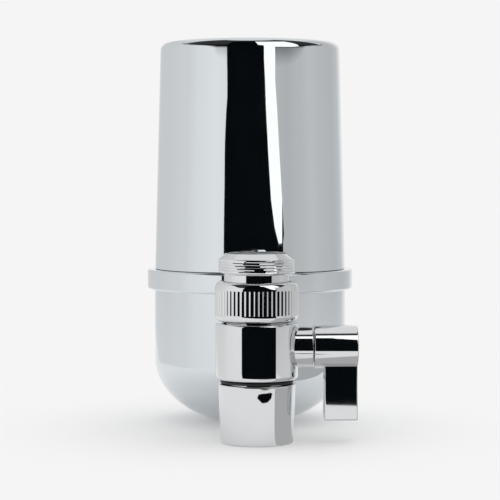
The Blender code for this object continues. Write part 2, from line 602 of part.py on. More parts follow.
def make_body():
    """Diverter casting: upright barrel with a lever neck on its side and a union spigot behind."""
    stem_bore = SWIVEL_STEM_RADIUS + GAP
    stem_floor = BODY_TOP + BODY_NECK_RISE - SWIVEL_STEM_DEPTH - GAP
    outlet_bore = OUTLET_SPIGOT_RADIUS + GAP
    outlet_roof = OUTLET_HEIGHT + OUTLET_SPIGOT_RISE + GAP
    profile = [(stem_bore, BODY_TOP + BODY_NECK_RISE), (BODY_NECK_RADIUS, BODY_TOP + BODY_NECK_RISE)]
    profile += [(BODY_NECK_RADIUS, BODY_TOP)]
    top_centre = (BODY_RADIUS - BODY_TOP_EDGE, BODY_TOP - BODY_TOP_EDGE)
    profile += arc(top_centre, (BODY_TOP_EDGE, BODY_TOP_EDGE), 90.0, 0.0, 2)
    foot_centre = (BODY_RADIUS - BODY_FOOT_EDGE, BODY_FOOT + BODY_FOOT_EDGE)
    profile += arc(foot_centre, (BODY_FOOT_EDGE, BODY_FOOT_EDGE), 0.0, -90.0, 3)
    profile += [
        (outlet_bore, BODY_FOOT),
        (outlet_bore, outlet_roof),
        (PASSAGE_RADIUS, outlet_roof),
        (PASSAGE_RADIUS, stem_floor),
        (stem_bore, stem_floor),
    ]
    body = turned("diverter_body", profile, CHROME, DIVERTER_AXIS)

    branch_root = BODY_RADIUS - ROOT_OVERLAP
    neck = rod(
        "body_neck", SIDE_NECK_RADIUS, branch_root, SIDE_NECK_REACH, VALVE_CENTRE, ALONG_X, SMALL_STEPS)
    combine(body, neck, "UNION")

    seat_face = DIVERTER_OFFSET - BOSS_FACE
    ring_height = seat_face + UNION_SPIGOT_DEPTH / 2.0
    collar_foot = seat_face - GAP - UNION_COLLAR_HEIGHT
    spigot_profile = [
        (0.0, seat_face + UNION_SPIGOT_DEPTH),
        (UNION_SPIGOT_RADIUS, seat_face + UNION_SPIGOT_DEPTH),
    ]
    spigot_profile += ring_groove(UNION_SPIGOT_RADIUS, UNION_RING_SECTION, ring_height)
    spigot_profile += [
        (UNION_SPIGOT_RADIUS, collar_foot + UNION_COLLAR_HEIGHT),
        (UNION_COLLAR_RADIUS, collar_foot + UNION_COLLAR_HEIGHT),
        (UNION_COLLAR_RADIUS, collar_foot),
        (UNION_SPIGOT_RADIUS, collar_foot),
        (UNION_SPIGOT_RADIUS, branch_root),
        (0.0, branch_root),
    ]
    spigot = turned("body_spigot", spigot_profile, None, VALVE_CENTRE, ALONG_Y, SMALL_STEPS)
    combine(body, spigot, "UNION")

    rear_bore = rod(
        "body_rear_bore", UNION_SPIGOT_BORE, 0.0, seat_face + UNION_SPIGOT_DEPTH + CUT_MARGIN, VALVE_CENTRE,
        ALONG_Y)
    combine(body, rear_bore, "DIFFERENCE")
    chamber = rod(
        "body_chamber", CHAMBER_RADIUS, -CHAMBER_DEPTH, SIDE_NECK_REACH + CUT_MARGIN, VALVE_CENTRE, ALONG_X,
        SMALL_STEPS)
    combine(body, chamber, "DIFFERENCE")
    seal_ring(
        "union_seal_ring", UNION_SPIGOT_RADIUS, UNION_RING_SECTION, ring_height, VALVE_CENTRE, ALONG_Y)
    return collar_foot


def make_union_nut(collar_foot):
    """Hexagon nut that pulls the diverter's collar against the bowl's boss."""
    foot = collar_foot - GAP - UNION_LIP
    top = foot + UNION_NUT_LENGTH
    corner = UNION_NUT_FLATS / math.sqrt(3.0)
    profile = [
        (0.0, top),
        (UNION_NUT_FLATS / 2.0, top),
        (corner + GAP, top - UNION_NUT_CHAMFER),
        (corner + GAP, foot + UNION_NUT_CHAMFER),
        (UNION_NUT_FLATS / 2.0, foot),
        (0.0, foot),
    ]
    nut = turned("union_nut", profile, CHROME, VALVE_CENTRE, ALONG_Y, SMALL_STEPS)
    past_foot = foot - CUT_MARGIN
    past_top = top + CUT_MARGIN
    prism = rod("union_hexagon", corner, past_foot, past_top, VALVE_CENTRE, ALONG_Y, 6)
    combine(nut, prism, "INTERSECT")
    seat_bore = rod(
        "union_bore", BOSS_RADIUS + GAP, foot + UNION_LIP, past_top, VALVE_CENTRE, ALONG_Y, SMALL_STEPS)
    combine(nut, seat_bore, "DIFFERENCE")
    lip_bore = rod(
        "union_lip_bore", UNION_SPIGOT_RADIUS + GAP, past_foot, top, VALVE_CENTRE, ALONG_Y, SMALL_STEPS)
    combine(nut, lip_bore, "DIFFERENCE")


def make_outlet():
    """Tapered outlet under the body, its rubber washer, and the aerator in its mouth."""
    spigot_top = OUTLET_HEIGHT + OUTLET_SPIGOT_RISE
    aerator_bore = AERATOR_RADIUS + GAP
    shell_profile = [
        (OUTLET_BORE, spigot_top),
        (OUTLET_SPIGOT_RADIUS, spigot_top),
        (OUTLET_SPIGOT_RADIUS, OUTLET_HEIGHT),
        (OUTLET_TOP_RADIUS - OUTLET_EDGE, OUTLET_HEIGHT),
        (OUTLET_TOP_RADIUS, OUTLET_HEIGHT - OUTLET_EDGE),
        (OUTLET_MOUTH_RADIUS, OUTLET_EDGE),
        (OUTLET_MOUTH_RADIUS - OUTLET_EDGE, 0.0),
        (aerator_bore, 0.0),
        (aerator_bore, AERATOR_DEPTH),
        (OUTLET_BORE, AERATOR_DEPTH),
    ]
    turned("outlet_shell", shell_profile, CHROME, DIVERTER_AXIS)
    washer_foot = OUTLET_HEIGHT + GAP
    tube_ring(
        "outlet_washer", OUTLET_TOP_RADIUS - OUTLET_WASHER_INSET, OUTLET_SPIGOT_RADIUS + GAP, washer_foot,
        washer_foot + OUTLET_WASHER_HEIGHT, RUBBER, DIVERTER_AXIS)
    screen_top = AERATOR_DEPTH - GAP
    screen_foot = screen_top - AERATOR_SCREEN_HEIGHT
    perforated_disc(
        "aerator_screen", AERATOR_RADIUS, screen_foot, screen_top, AERATOR_SCREEN_HOLE, AERATOR_SCREEN_PITCH,
        STEEL, DIVERTER_AXIS)
    ring_top = AERATOR_RING_INSET + AERATOR_RING_HEIGHT
    perforated_disc(
        "aerator_core", AERATOR_RADIUS, ring_top + GAP, screen_foot - GAP, AERATOR_HOLE, AERATOR_HOLE_PITCH,
        WHITE_PLASTIC, DIVERTER_AXIS)
    tube_ring(
        "aerator_ring", AERATOR_RADIUS, AERATOR_RING_BORE, AERATOR_RING_INSET, ring_top, CHROME,
        DIVERTER_AXIS, steps=SMALL_STEPS)


def make_swivel():
    """Flanged sleeve that holds the knurled nut on the body, and the washer on top of it."""
    stem_foot = BODY_TOP + BODY_NECK_RISE - SWIVEL_STEM_DEPTH
    sleeve_profile = [
        (SWIVEL_STEM_BORE, FLANGE_TOP),
        (SWIVEL_FLANGE_RADIUS, FLANGE_TOP),
        (SWIVEL_FLANGE_RADIUS, FLANGE_FOOT),
        (SWIVEL_STEM_RADIUS, FLANGE_FOOT),
        (SWIVEL_STEM_RADIUS, stem_foot),
        (SWIVEL_STEM_BORE, stem_foot),
    ]
    turned("swivel_sleeve", sleeve_profile, BRASS, DIVERTER_AXIS, steps=SMALL_STEPS)
    washer_foot = FLANGE_TOP + GAP
    tube_ring(
        "swivel_washer", SWIVEL_FLANGE_RADIUS, SWIVEL_STEM_BORE + GAP, washer_foot,
        washer_foot + SWIVEL_WASHER_HEIGHT, RUBBER, DIVERTER_AXIS, steps=SMALL_STEPS)


def make_swivel_nut():
    """Knurled nut: a turned blank with a ring of V grooves that leave the grip ribs."""
    thread_bore = ADAPTER_ROOT_RADIUS + GAP
    collar_bore = SWIVEL_STEM_RADIUS + GAP
    rib_top = NUT_TOP - NUT_TOP_CHAMFER
    rib_foot = NUT_FOOT + NUT_FOOT_CHAMFER
    profile = [
        (thread_bore + CORNER_BREAK, NUT_TOP),
        (NUT_RADIUS - NUT_TOP_CHAMFER_INSET, NUT_TOP),
        (NUT_RADIUS, rib_top),
        (NUT_RADIUS, rib_foot),
        (NUT_RADIUS - NUT_FOOT_CHAMFER_INSET, NUT_FOOT),
        (collar_bore, NUT_FOOT),
        (collar_bore, NUT_FOOT + NUT_COLLAR),
        (thread_bore, NUT_FOOT + NUT_COLLAR),
        (thread_bore, NUT_TOP - CORNER_BREAK),
    ]
    nut = turned("swivel_nut", profile, CHROME, DIVERTER_AXIS, steps=RIB_COUNT)
    spots = []
    for i in range(RIB_COUNT):
        angle = ROUND * (i + 0.5) / RIB_COUNT
        reach = NUT_RADIUS * math.cos(math.pi / RIB_COUNT)
        spots.append((reach * math.cos(angle), reach * math.sin(angle), angle))
    grooves = rods_cutter(
        "rib_grooves", spots, RIB_GROOVE, rib_foot + RIB_END, rib_top - RIB_END, 4, math.pi / 4.0,
        DIVERTER_AXIS)
    combine(nut, grooves, "DIFFERENCE")


def make_adapter():
    """Threaded adapter that screws into the faucet, with the washer and screen in its mouth."""
    band_top = ADAPTER_THREAD_FOOT - ADAPTER_UNDERCUT
    thread_top = ADAPTER_THREAD_FOOT + ADAPTER_THREAD_HEIGHT
    recess_floor = ADAPTER_TOP - ADAPTER_RECESS_DEPTH
    profile = [
        (ADAPTER_RECESS_RADIUS, ADAPTER_TOP),
        (ADAPTER_RIM_RADIUS, ADAPTER_TOP),
        (ADAPTER_THREAD_RADIUS, thread_top),
        (ADAPTER_THREAD_RADIUS, ADAPTER_THREAD_FOOT),
        (ADAPTER_BAND_RADIUS, band_top),
        (ADAPTER_BAND_RADIUS, ADAPTER_FOOT + ADAPTER_ROOT_HEIGHT),
        (ADAPTER_ROOT_RADIUS, ADAPTER_FOOT + ADAPTER_ROOT_HEIGHT),
        (ADAPTER_ROOT_RADIUS, ADAPTER_FOOT),
        (ADAPTER_BORE, ADAPTER_FOOT),
        (ADAPTER_BORE, recess_floor),
        (ADAPTER_RECESS_RADIUS, recess_floor),
    ]
    turned("faucet_adapter", profile, CHROME, DIVERTER_AXIS)
    screen_foot = recess_floor + GAP
    screen_top = screen_foot + INLET_SCREEN_HEIGHT
    seat_radius = ADAPTER_RECESS_RADIUS - GAP
    perforated_disc(
        "inlet_screen", seat_radius, screen_foot, screen_top, INLET_SCREEN_HOLE, INLET_SCREEN_PITCH, STEEL,
        DIVERTER_AXIS)
    tube_ring(
        "adapter_washer", seat_radius, ADAPTER_WASHER_BORE, screen_top + GAP,
        screen_top + GAP + ADAPTER_WASHER_HEIGHT, SILICONE, DIVERTER_AXIS, steps=SMALL_STEPS)


def make_spindle():
    """Valve drum with its ports, rubber rings and square drive, and the gland that keeps it in."""
    drum_radius = CHAMBER_RADIUS - GAP
    drum_end = GAP - CHAMBER_DEPTH
    profile = [
        (0.0, DRIVE_START),
        (STEM_RADIUS, DRIVE_START),
        (STEM_RADIUS, DRUM_REACH),
        (drum_radius, DRUM_REACH),
    ]
    for place in (RING_FROM_PORT, -RING_FROM_PORT):
        profile += ring_groove(drum_radius, SPINDLE_RING_SECTION, place)
    profile += [(drum_radius, drum_end), (0.0, drum_end)]
    spindle = turned("valve_spindle", profile, BRASS, VALVE_CENTRE, ALONG_X, SMALL_STEPS)
    half = DRIVE_SQUARE / 2.0
    drive_mesh = box_mesh("spindle_drive", (DRIVE_START - DRIVE_ROOT, -half, -half), (DRIVE_END, half, half))
    drive = add_object("spindle_drive", drive_mesh, place=VALVE_CENTRE)
    combine(spindle, drive, "UNION")
    tapped = rod(
        "spindle_tapped_hole", SCREW_RADIUS + GAP, DRIVE_END - SCREW_GRIP - GAP, DRIVE_END + CUT_MARGIN,
        VALVE_CENTRE, ALONG_X, SCREW_STEPS)
    combine(spindle, tapped, "DIFFERENCE")
    past_drum = drum_radius + CUT_MARGIN
    down_port = rod(
        "spindle_down_port", PORT_RADIUS, -past_drum, past_drum, VALVE_CENTRE, steps=SMALL_STEPS)
    combine(spindle, down_port, "DIFFERENCE")
    rear_port = rod("spindle_rear_port", PORT_RADIUS, 0.0, past_drum, VALVE_CENTRE, ALONG_Y, SMALL_STEPS)
    combine(spindle, rear_port, "DIFFERENCE")
    rings = (("spindle_seal_ring_outer", RING_FROM_PORT), ("spindle_seal_ring_inner", -RING_FROM_PORT))
    for name, place in rings:
        seal_ring(name, drum_radius, SPINDLE_RING_SECTION, place, VALVE_CENTRE, ALONG_X)
    tube_ring(
        "spindle_gland", CHAMBER_RADIUS - GAP, STEM_RADIUS + GAP, SIDE_NECK_REACH - GLAND_LENGTH,
        SIDE_NECK_REACH, BRASS, VALVE_CENTRE, ALONG_X, SMALL_STEPS)


def make_lever():
    """Lever: a turned barrel with a flat blade that hangs from it, its screw and the screw's cover."""
    edge = BARREL_EDGE
    barrel_profile = [
        (0.0, LEVER_END),
        (BARREL_RADIUS - edge, LEVER_END),
        (BARREL_RADIUS, LEVER_END - edge),
        (BARREL_RADIUS, LEVER_START + edge),
        (BARREL_RADIUS - edge, LEVER_START),
        (0.0, LEVER_START),
    ]
    lever = turned("lever_handle", barrel_profile, CHROME, VALVE_CENTRE, ALONG_X, 2 * SMALL_STEPS)
    half = BLADE_THICKNESS / 2.0
    blade_low = (LEVER_END - BLADE_WIDTH, -half, -BLADE_DROP)
    blade_high = (LEVER_END, half, -BLADE_ROOT)
    blade = add_object("lever_blade", box_mesh("lever_blade", blade_low, blade_high), place=VALVE_CENTRE)
    bevel = blade.modifiers.new("edges", "BEVEL")
    bevel.width = BLADE_EDGE
    bevel.segments = 2
    combine(lever, blade, "UNION")
    side = DRIVE_SQUARE / 2.0 + GAP
    socket_low = (LEVER_START - CUT_MARGIN, -side, -side)
    socket_mesh = box_mesh("lever_socket", socket_low, (DRIVE_END + GAP, side, side))
    socket = add_object("lever_socket", socket_mesh, place=VALVE_CENTRE)
    combine(lever, socket, "DIFFERENCE")
    screw_hole = rod(
        "lever_screw_hole", SCREW_RADIUS + GAP, DRIVE_START, LEVER_END, VALVE_CENTRE, ALONG_X, SCREW_STEPS)
    combine(lever, screw_hole, "DIFFERENCE")
    recess = rod(
        "lever_recess", RECESS_RADIUS, RECESS_FLOOR, LEVER_END + CUT_MARGIN, VALVE_CENTRE, ALONG_X,
        SMALL_STEPS)
    combine(lever, recess, "DIFFERENCE")

    head_foot = RECESS_FLOOR + GAP
    head_top = head_foot + SCREW_HEAD_HEIGHT
    screw_profile = [
        (0.0, head_top),
        (SCREW_HEAD_RADIUS, head_top),
        (SCREW_HEAD_RADIUS, head_foot),
        (SCREW_RADIUS, head_foot),
        (SCREW_RADIUS, DRIVE_END - SCREW_GRIP),
        (0.0, DRIVE_END - SCREW_GRIP),
    ]
    screw = turned("lever_screw", screw_profile, STEEL, VALVE_CENTRE, ALONG_X, SCREW_STEPS)
    slot_half = SCREW_SLOT / 2.0
    slot_reach = SCREW_HEAD_RADIUS + CUT_MARGIN
    slot_low = (head_top - SCREW_SLOT, -slot_half, -slot_reach)
    slot_high = (head_top + CUT_MARGIN, slot_half, slot_reach)
    slot = add_object("screw_slot", box_mesh("screw_slot", slot_low, slot_high), place=VALVE_CENTRE)
    combine(screw, slot, "DIFFERENCE")
    cover_foot = head_top + GAP
    cover_radius = RECESS_RADIUS - GAP
    cover_profile = [
        (0.0, cover_foot + COVER_HEIGHT),
        (cover_radius - COVER_EDGE, cover_foot + COVER_HEIGHT),
        (cover_radius, cover_foot + COVER_HEIGHT - COVER_EDGE),
        (cover_radius, cover_foot),
        (0.0, cover_foot),
    ]
    turned("lever_screw_cover", cover_profile, CHROME, VALVE_CENTRE, ALONG_X, SMALL_STEPS)


def settle(pieces):
    """Turn each part's modifiers into its mesh, and shade it smooth with crisp edges."""
    bpy.context.view_layer.update()
    depsgraph = bpy.context.evaluated_depsgraph_get()
    meshes = [bpy.data.meshes.new_from_object(piece.evaluated_get(depsgraph)) for piece in pieces]
    for piece, mesh in zip(pieces, meshes):
        piece.modifiers.clear()
        piece.data = mesh
        mesh.shade_smooth()
        mesh.set_sharp_from_angle(angle=SHARP_ANGLE)


make_bowl()
make_cap()
make_return_tube(make_outlet_seat())
make_cartridge()
make_union_nut(make_body())
make_outlet()
make_swivel()
make_swivel_nut()
make_adapter()
make_spindle()
make_lever()
settle(list(parts.objects))
triangles = sum(len(piece.data.loop_triangles) for piece in parts.objects)
print(len(parts.objects), "parts,", triangles, "triangles")
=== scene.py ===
# %% [markdown]
# # A faucet mount water filter in polished chrome
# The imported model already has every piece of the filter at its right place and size.
# This lesson gives it its looks: smooth turned shells in place of the faceted solids, a knurled nut,
# screw threads, and the finishes of chrome, rubber, plastic, carbon and brass.
# Everything is in metres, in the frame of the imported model, so a piece goes where its solid is.

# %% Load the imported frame
import math

import bmesh
import bpy
from mathutils import Matrix, Vector


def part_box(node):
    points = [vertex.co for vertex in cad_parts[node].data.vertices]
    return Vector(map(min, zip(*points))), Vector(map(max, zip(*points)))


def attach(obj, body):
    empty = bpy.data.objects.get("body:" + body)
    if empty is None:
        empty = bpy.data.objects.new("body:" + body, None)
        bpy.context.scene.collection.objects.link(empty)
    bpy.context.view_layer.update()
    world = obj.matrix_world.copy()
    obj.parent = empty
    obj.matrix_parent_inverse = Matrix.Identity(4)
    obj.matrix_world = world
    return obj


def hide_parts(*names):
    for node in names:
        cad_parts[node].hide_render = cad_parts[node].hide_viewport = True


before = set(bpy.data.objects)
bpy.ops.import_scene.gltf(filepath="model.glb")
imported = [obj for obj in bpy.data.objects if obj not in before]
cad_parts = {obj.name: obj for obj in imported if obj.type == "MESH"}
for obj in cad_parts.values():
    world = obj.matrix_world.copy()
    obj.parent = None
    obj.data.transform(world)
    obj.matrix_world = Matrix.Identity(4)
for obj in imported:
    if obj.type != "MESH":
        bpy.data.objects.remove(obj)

MM = 0.001
GAP = 0.3 * MM
ROUND = 2.0 * math.pi
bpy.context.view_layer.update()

# %% [markdown]
# ## Sizes, read from the solids
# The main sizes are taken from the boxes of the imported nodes, so the shells below follow the model.
# What a box can't tell, such as a wall or a fillet, gets a named value next to the piece that needs it.

# %% Measure the housing and the diverter
cap_low, cap_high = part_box("filter_cap")
bowl_low, bowl_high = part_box("filter_bowl")
body_low, body_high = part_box("diverter_body")
nut_low, nut_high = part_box("swivel_nut")
adapter_low, adapter_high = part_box("faucet_adapter")
outlet_low, outlet_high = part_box("outlet_shell")
lever_low, lever_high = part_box("lever_handle")
drum_low, drum_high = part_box("valve_spindle")

HOUSING = Vector((0.0, 0.0, 0.0))
DIVERTER = Vector((0.0, (nut_low.y + nut_high.y) / 2.0, 0.0))
VALVE = Vector((0.0, DIVERTER.y, (drum_low.z + drum_high.z) / 2.0))
print("diverter axis at y %.1f mm, valve axis at z %.1f mm" % (DIVERTER.y / MM, VALVE.z / MM))

# %% [markdown]
# ## Turning on a lathe
# Nearly every piece of this filter is turned or moulded round an axis, so one helper does most of the
# modelling. It takes the outline of half a section and turns it into a mesh.
# Chrome shows every flaw of a mesh, and what it shows worst is a bent normal: where a long straight
# wall meets a fillet, Blender would average the two and bend the reflection over the whole wall.
# So each rounded corner is held by two extra points just outside its ends, which keep the walls straight.

# %% Round the corners of an outline
BEND_STEPS = 6
HOLD_SHARE = 0.25
SIDE_SHARE = 0.45
BEND_LIMIT = 0.9


def rounded(corners, ring=True, steps=BEND_STEPS):
    """Outline points from corners of (radius, height, fillet); a ring's outline is closed."""
    points = []
    count = len(corners)
    for i, (radius, height, fillet) in enumerate(corners):
        here = Vector((radius, height))
        if fillet <= 0.0 or (not ring and i in (0, count - 1)):
            points.append(here)
            continue
        before = Vector(corners[i - 1][:2]) - here
        after = Vector(corners[(i + 1) % count][:2]) - here
        half_angle = before.angle(after) / 2.0
        room = SIDE_SHARE * min(before.length, after.length)
        reach = min(fillet / math.tan(half_angle), room)
        bend = reach * math.tan(half_angle)
        before.normalize()
        after.normalize()
        centre = here + (before + after).normalized() * (bend / math.sin(half_angle))
        start = here + before * reach - centre
        end = here + after * reach - centre
        turn_angle = start.angle_signed(end)
        hold = min(HOLD_SHARE * reach, room - reach * BEND_LIMIT)
        points.append(here + before * (reach + hold))
        for step in range(steps + 1):
            swing = Matrix.Rotation(-turn_angle * step / steps, 2)
            points.append(centre + swing @ start)
        points.append(here + after * (reach + hold))
    return [(max(point.x, 0.0), point.y) for point in points]


def arc(radius, height, across, rise, start, end, steps):
    """Outline points on an ellipse round (radius, height), from one angle to another, in degrees."""
    points = []
    for i in range(steps + 1):
        angle = math.radians(start + (end - start) * i / steps)
        points.append((radius + across * math.cos(angle), height + rise * math.sin(angle)))
    return points


# %% Turn an outline into a mesh
SHELL_STEPS = 192
SMALL_STEPS = 128
SHARP = math.radians(35.0)
TURNS = {
    "Z": Matrix.Identity(3),
    "X": Matrix.Rotation(math.pi / 2.0, 3, "Y"),
    "Y": Matrix.Rotation(-math.pi / 2.0, 3, "X"),
}


def link(piece):
    """Put an object in the scene and hand it back."""
    bpy.context.scene.collection.objects.link(piece)
    return piece


def turned(name, outline, centre, axis="Z", steps=SHELL_STEPS):
    """Turn an outline of (radius, height), which runs down its outer side, about an axis."""
    verts, faces, rings = [], [], []
    for radius, height in outline:
        if radius < 1e-7:
            rings.append([len(verts)])
            verts.append((0.0, 0.0, height))
            continue
        rings.append(list(range(len(verts), len(verts) + steps)))
        for j in range(steps):
            angle = ROUND * j / steps
            verts.append((radius * math.cos(angle), radius * math.sin(angle), height))
    pairs = list(zip(rings, rings[1:]))
    if outline[0][0] > 1e-7:
        pairs.append((rings[-1], rings[0]))
    for upper, lower in pairs:
        for j in range(steps):
            k = (j + 1) % steps
            if len(upper) == 1:
                faces.append((upper[0], lower[j], lower[k]))
            elif len(lower) == 1:
                faces.append((upper[j], lower[0], upper[k]))
            else:
                faces.append((upper[j], lower[j], lower[k], upper[k]))
    turn = TURNS[axis]
    mesh = bpy.data.meshes.new(name)
    mesh.from_pydata([turn @ Vector(vert) + centre for vert in verts], [], faces)
    return link(bpy.data.objects.new(name, mesh))


# %% [markdown]
# ### Cuts, joins and the last step
# Bores and branches are cut and joined with exact Booleans, as a workshop would drill and braze them.
# The last step is the same for every piece: finish, flat normals, body, slot, and hiding the imported node that it
# replaces.

# %% Cut, join and finish pieces
def crisp(mesh):
    """Shade a mesh smooth, with its real corners kept sharp."""
    mesh.shade_smooth()
    mesh.set_sharp_from_angle(angle=SHARP)


def applied(piece):
    """Turn a piece's modifiers into its mesh."""
    bpy.context.view_layer.update()
    solid = piece.evaluated_get(bpy.context.evaluated_depsgraph_get())
    mesh = bpy.data.meshes.new_from_object(solid)
    piece.modifiers.clear()
    old = piece.data
    piece.data = mesh
    bpy.data.meshes.remove(old)
    mesh.name = piece.name
    return piece


def combine(piece, operation, *cutters):
    """Join, cut or intersect a piece with others, which are used up."""
    for cutter in cutters:
        step = piece.modifiers.new(cutter.name, "BOOLEAN")
        step.object = cutter
        step.operation = operation
        step.solver = "EXACT"
    applied(piece)
    for cutter in cutters:
        bpy.data.objects.remove(cutter)


def loose_mesh(piece):
    """Take the mesh out of an object that has done its work."""
    mesh = piece.data
    bpy.data.objects.remove(piece)
    return mesh


def rod(name, radius, low, high, centre, axis="Z", steps=64):
    """A plain round rod for cuts and joins."""
    return turned(name, [(0.0, high), (radius, high), (radius, low), (0.0, low)], centre, axis, steps)


def ring(name, outer, inner, low, high, fillet, centre, steps=SMALL_STEPS):
    """A ring of square section with rounded corners."""
    corners = [(outer, high, fillet), (outer, low, fillet), (inner, low, fillet), (inner, high, fillet)]
    return turned(name, rounded(corners, steps=3), centre, steps=steps)


def block(name, low, high, fillet, segments=3):
    """A box between two corners with rounded edges."""
    mesh = bpy.data.meshes.new(name)
    shape = bmesh.new()
    size = Vector(high) - Vector(low)
    middle = (Vector(high) + Vector(low)) / 2.0
    bmesh.ops.create_cube(shape, size=1.0, matrix=Matrix.Translation(middle) @ Matrix.Diagonal((*size, 1.0)))
    if fillet > 0.0:
        bmesh.ops.bevel(
            shape, geom=shape.edges[:], offset=fillet, segments=segments, profile=0.5, affect="EDGES")
    shape.to_mesh(mesh)
    shape.free()
    return link(bpy.data.objects.new(name, mesh))


def settle(piece, finish, body, node):
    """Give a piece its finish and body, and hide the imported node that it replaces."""
    piece.data.materials.clear()
    piece.data.materials.append(finish)
    crisp(piece.data)
    level = piece.modifiers.new("level_normals", "WEIGHTED_NORMAL")
    level.mode = "FACE_AREA"
    level.weight = 100
    level.keep_sharp = True
    applied(piece)
    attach(piece, body)
    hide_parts(node)
    print("%-22s %6d faces on %s" % (piece.name, len(piece.data.polygons), body))


# %% [markdown]
# ## Node graphs as Python
# Finishes and repeated shapes are both built from nodes. One small class holds a node tree, and one
# wraps a node's output, so that a formula such as `base + grain * 0.02` adds its Math nodes by itself.

# %% Wrap node trees and their sockets
class Value:
    """A node's output, which can stand in a formula."""

    def __init__(self, graph, socket):
        self.graph = graph
        self.socket = socket

    def calculate(self, operation, first, second):
        return self.graph.add("ShaderNodeMath", {"operation": operation}, {0: first, 1: second})

    def __add__(self, other):
        return self.calculate("ADD", self, other)

    def __radd__(self, other):
        return self.calculate("ADD", other, self)

    def __sub__(self, other):
        return self.calculate("SUBTRACT", self, other)

    def __rsub__(self, other):
        return self.calculate("SUBTRACT", other, self)

    def __mul__(self, other):
        return self.calculate("MULTIPLY", self, other)

    def __rmul__(self, other):
        return self.calculate("MULTIPLY", other, self)

    def __truediv__(self, other):
        return self.calculate("DIVIDE", self, other)


class Graph:
    """A node tree that is filled from Python."""

    def __init__(self, tree):
        self.tree = tree

    def add(self, kind, settings=None, sockets=None, output=0):
        """Add a node: its settings first, then the values or links of its sockets."""
        node = self.tree.nodes.new(kind)
        for name, value in (settings or {}).items():
            setattr(node, name, value)
        for key, value in (sockets or {}).items():
            self.feed(node.inputs[key], value)
        return Value(self, node.outputs[output]) if node.outputs else None

    def feed(self, socket, value):
        """Link a socket, or several values to one that takes many, or set it."""
        if isinstance(value, Value):
            self.tree.links.new(value.socket, socket)
        elif isinstance(value, list):
            for item in value:
                self.tree.links.new(item.socket, socket)
        else:
            socket.default_value = value


# %% [markdown]
# ## Finishes
# A finish is a Principled shader whose colour, roughness and bump vary a little over the piece, as
# real surfaces do. Patterns read Object coordinates, which here are the metres of the model.
# Numbers that stay the same over the whole surface are set on the shader itself.

# %% Start a finish
class Finish(Graph):
    """A Principled material under construction."""

    def __init__(self, name, **plain):
        self.material = bpy.data.materials.new(name)
        self.material.use_nodes = True
        super().__init__(self.material.node_tree)
        self.shader = self.tree.nodes["Principled BSDF"]
        for key, value in plain.items():
            self.shader.inputs[key.replace("_", " ")].default_value = value
        self.place = self.add("ShaderNodeTexCoord", output="Object")

    def noise(self, scale, detail=3.0, stretch=(1.0, 1.0, 1.0)):
        """Smooth noise from 0 to 1, with features about one part in scale of a metre."""
        spot = self.add("ShaderNodeMapping", {}, {"Vector": self.place, "Scale": stretch})
        return self.add("ShaderNodeTexNoise", {}, {"Vector": spot, "Scale": scale, "Detail": detail})

    def blend(self, first, second, factor):
        """A colour between two."""
        sockets = {"Factor": factor, 6: (*first, 1.0), 7: (*second, 1.0)}
        return self.add("ShaderNodeMix", {"data_type": "RGBA"}, sockets, 2)

    def set(self, key, value):
        """Feed one of the shader's sockets."""
        self.feed(self.shader.inputs[key], value)

    def bump(self, height, distance):
        """Let a height, in units of distance, tilt the surface."""
        sockets = {"Height": height, "Distance": distance, "Strength": 1.0}
        self.set("Normal", self.add("ShaderNodeBump", {}, sockets))


# %% [markdown]
# ### Chrome
# Chrome plate is a mirror with a faint blue cast. What makes it look real is what little is wrong with
# it: the plated wall under it is never quite flat, so reflections waver, and wiping leaves a haze.
# The moulded housing and the polished brass of the diverter get the same recipe with other values.

# %% Chrome finishes
def chrome(name, bright, shade, haze, wave_scale, wave_depth):
    """Mirror plating with a slow wave in its wall and a thin haze of wiping."""
    finish = Finish(name, Metallic=1.0)
    wave = finish.noise(wave_scale, 1.5)
    wipe = finish.noise(160.0, 4.0, (1.0, 1.0, 0.35))
    finish.set("Base Color", finish.blend(bright, shade, finish.noise(45.0)))
    finish.set("Roughness", haze * (0.4 + 1.2 * wipe))
    finish.bump(wave, wave_depth)
    return finish.material


HOUSING_CHROME = chrome("housing_chrome", (0.735, 0.772, 0.8), (0.722, 0.76, 0.79), 0.035, 28.0, 0.02 * MM)
VALVE_CHROME = chrome("valve_chrome", (0.755, 0.768, 0.775), (0.74, 0.755, 0.765), 0.035, 90.0, 0.006 * MM)


# %% [markdown]
# ### Rubber, silicone and plastics
# Seals are matt and slightly mottled. Moulded plastic has a soft sheen and a very fine skin.

# %% Soft and moulded finishes
def moulded(name, light, dark, rough, skin_scale, skin_depth):
    """Rubber or plastic with a mottled colour and a fine skin."""
    finish = Finish(name)
    mottle = finish.noise(90.0, 4.0)
    finish.set("Base Color", finish.blend(light, dark, mottle))
    finish.set("Roughness", rough + 0.12 * mottle)
    finish.bump(finish.noise(skin_scale, 2.0), skin_depth)
    return finish.material


BLACK_RUBBER = moulded("black_rubber", (0.022, 0.022, 0.024), (0.012, 0.012, 0.013), 0.5, 2500.0, 0.02 * MM)
GREY_SILICONE = moulded("grey_silicone", (0.4, 0.41, 0.42), (0.33, 0.34, 0.35), 0.4, 1800.0, 0.015 * MM)
WHITE_PLASTIC = moulded("white_plastic", (0.82, 0.82, 0.8), (0.78, 0.78, 0.75), 0.32, 1500.0, 0.008 * MM)
MESH_PLASTIC = moulded("aerator_plastic", (0.62, 0.64, 0.66), (0.55, 0.57, 0.6), 0.35, 1500.0, 0.01 * MM)

# %% [markdown]
# ### Filter media
# The block is pressed from carbon grains, so it is black, matt and pitted, with a few bright specks.
# The sleeve is a pleated fleece of white fibres.

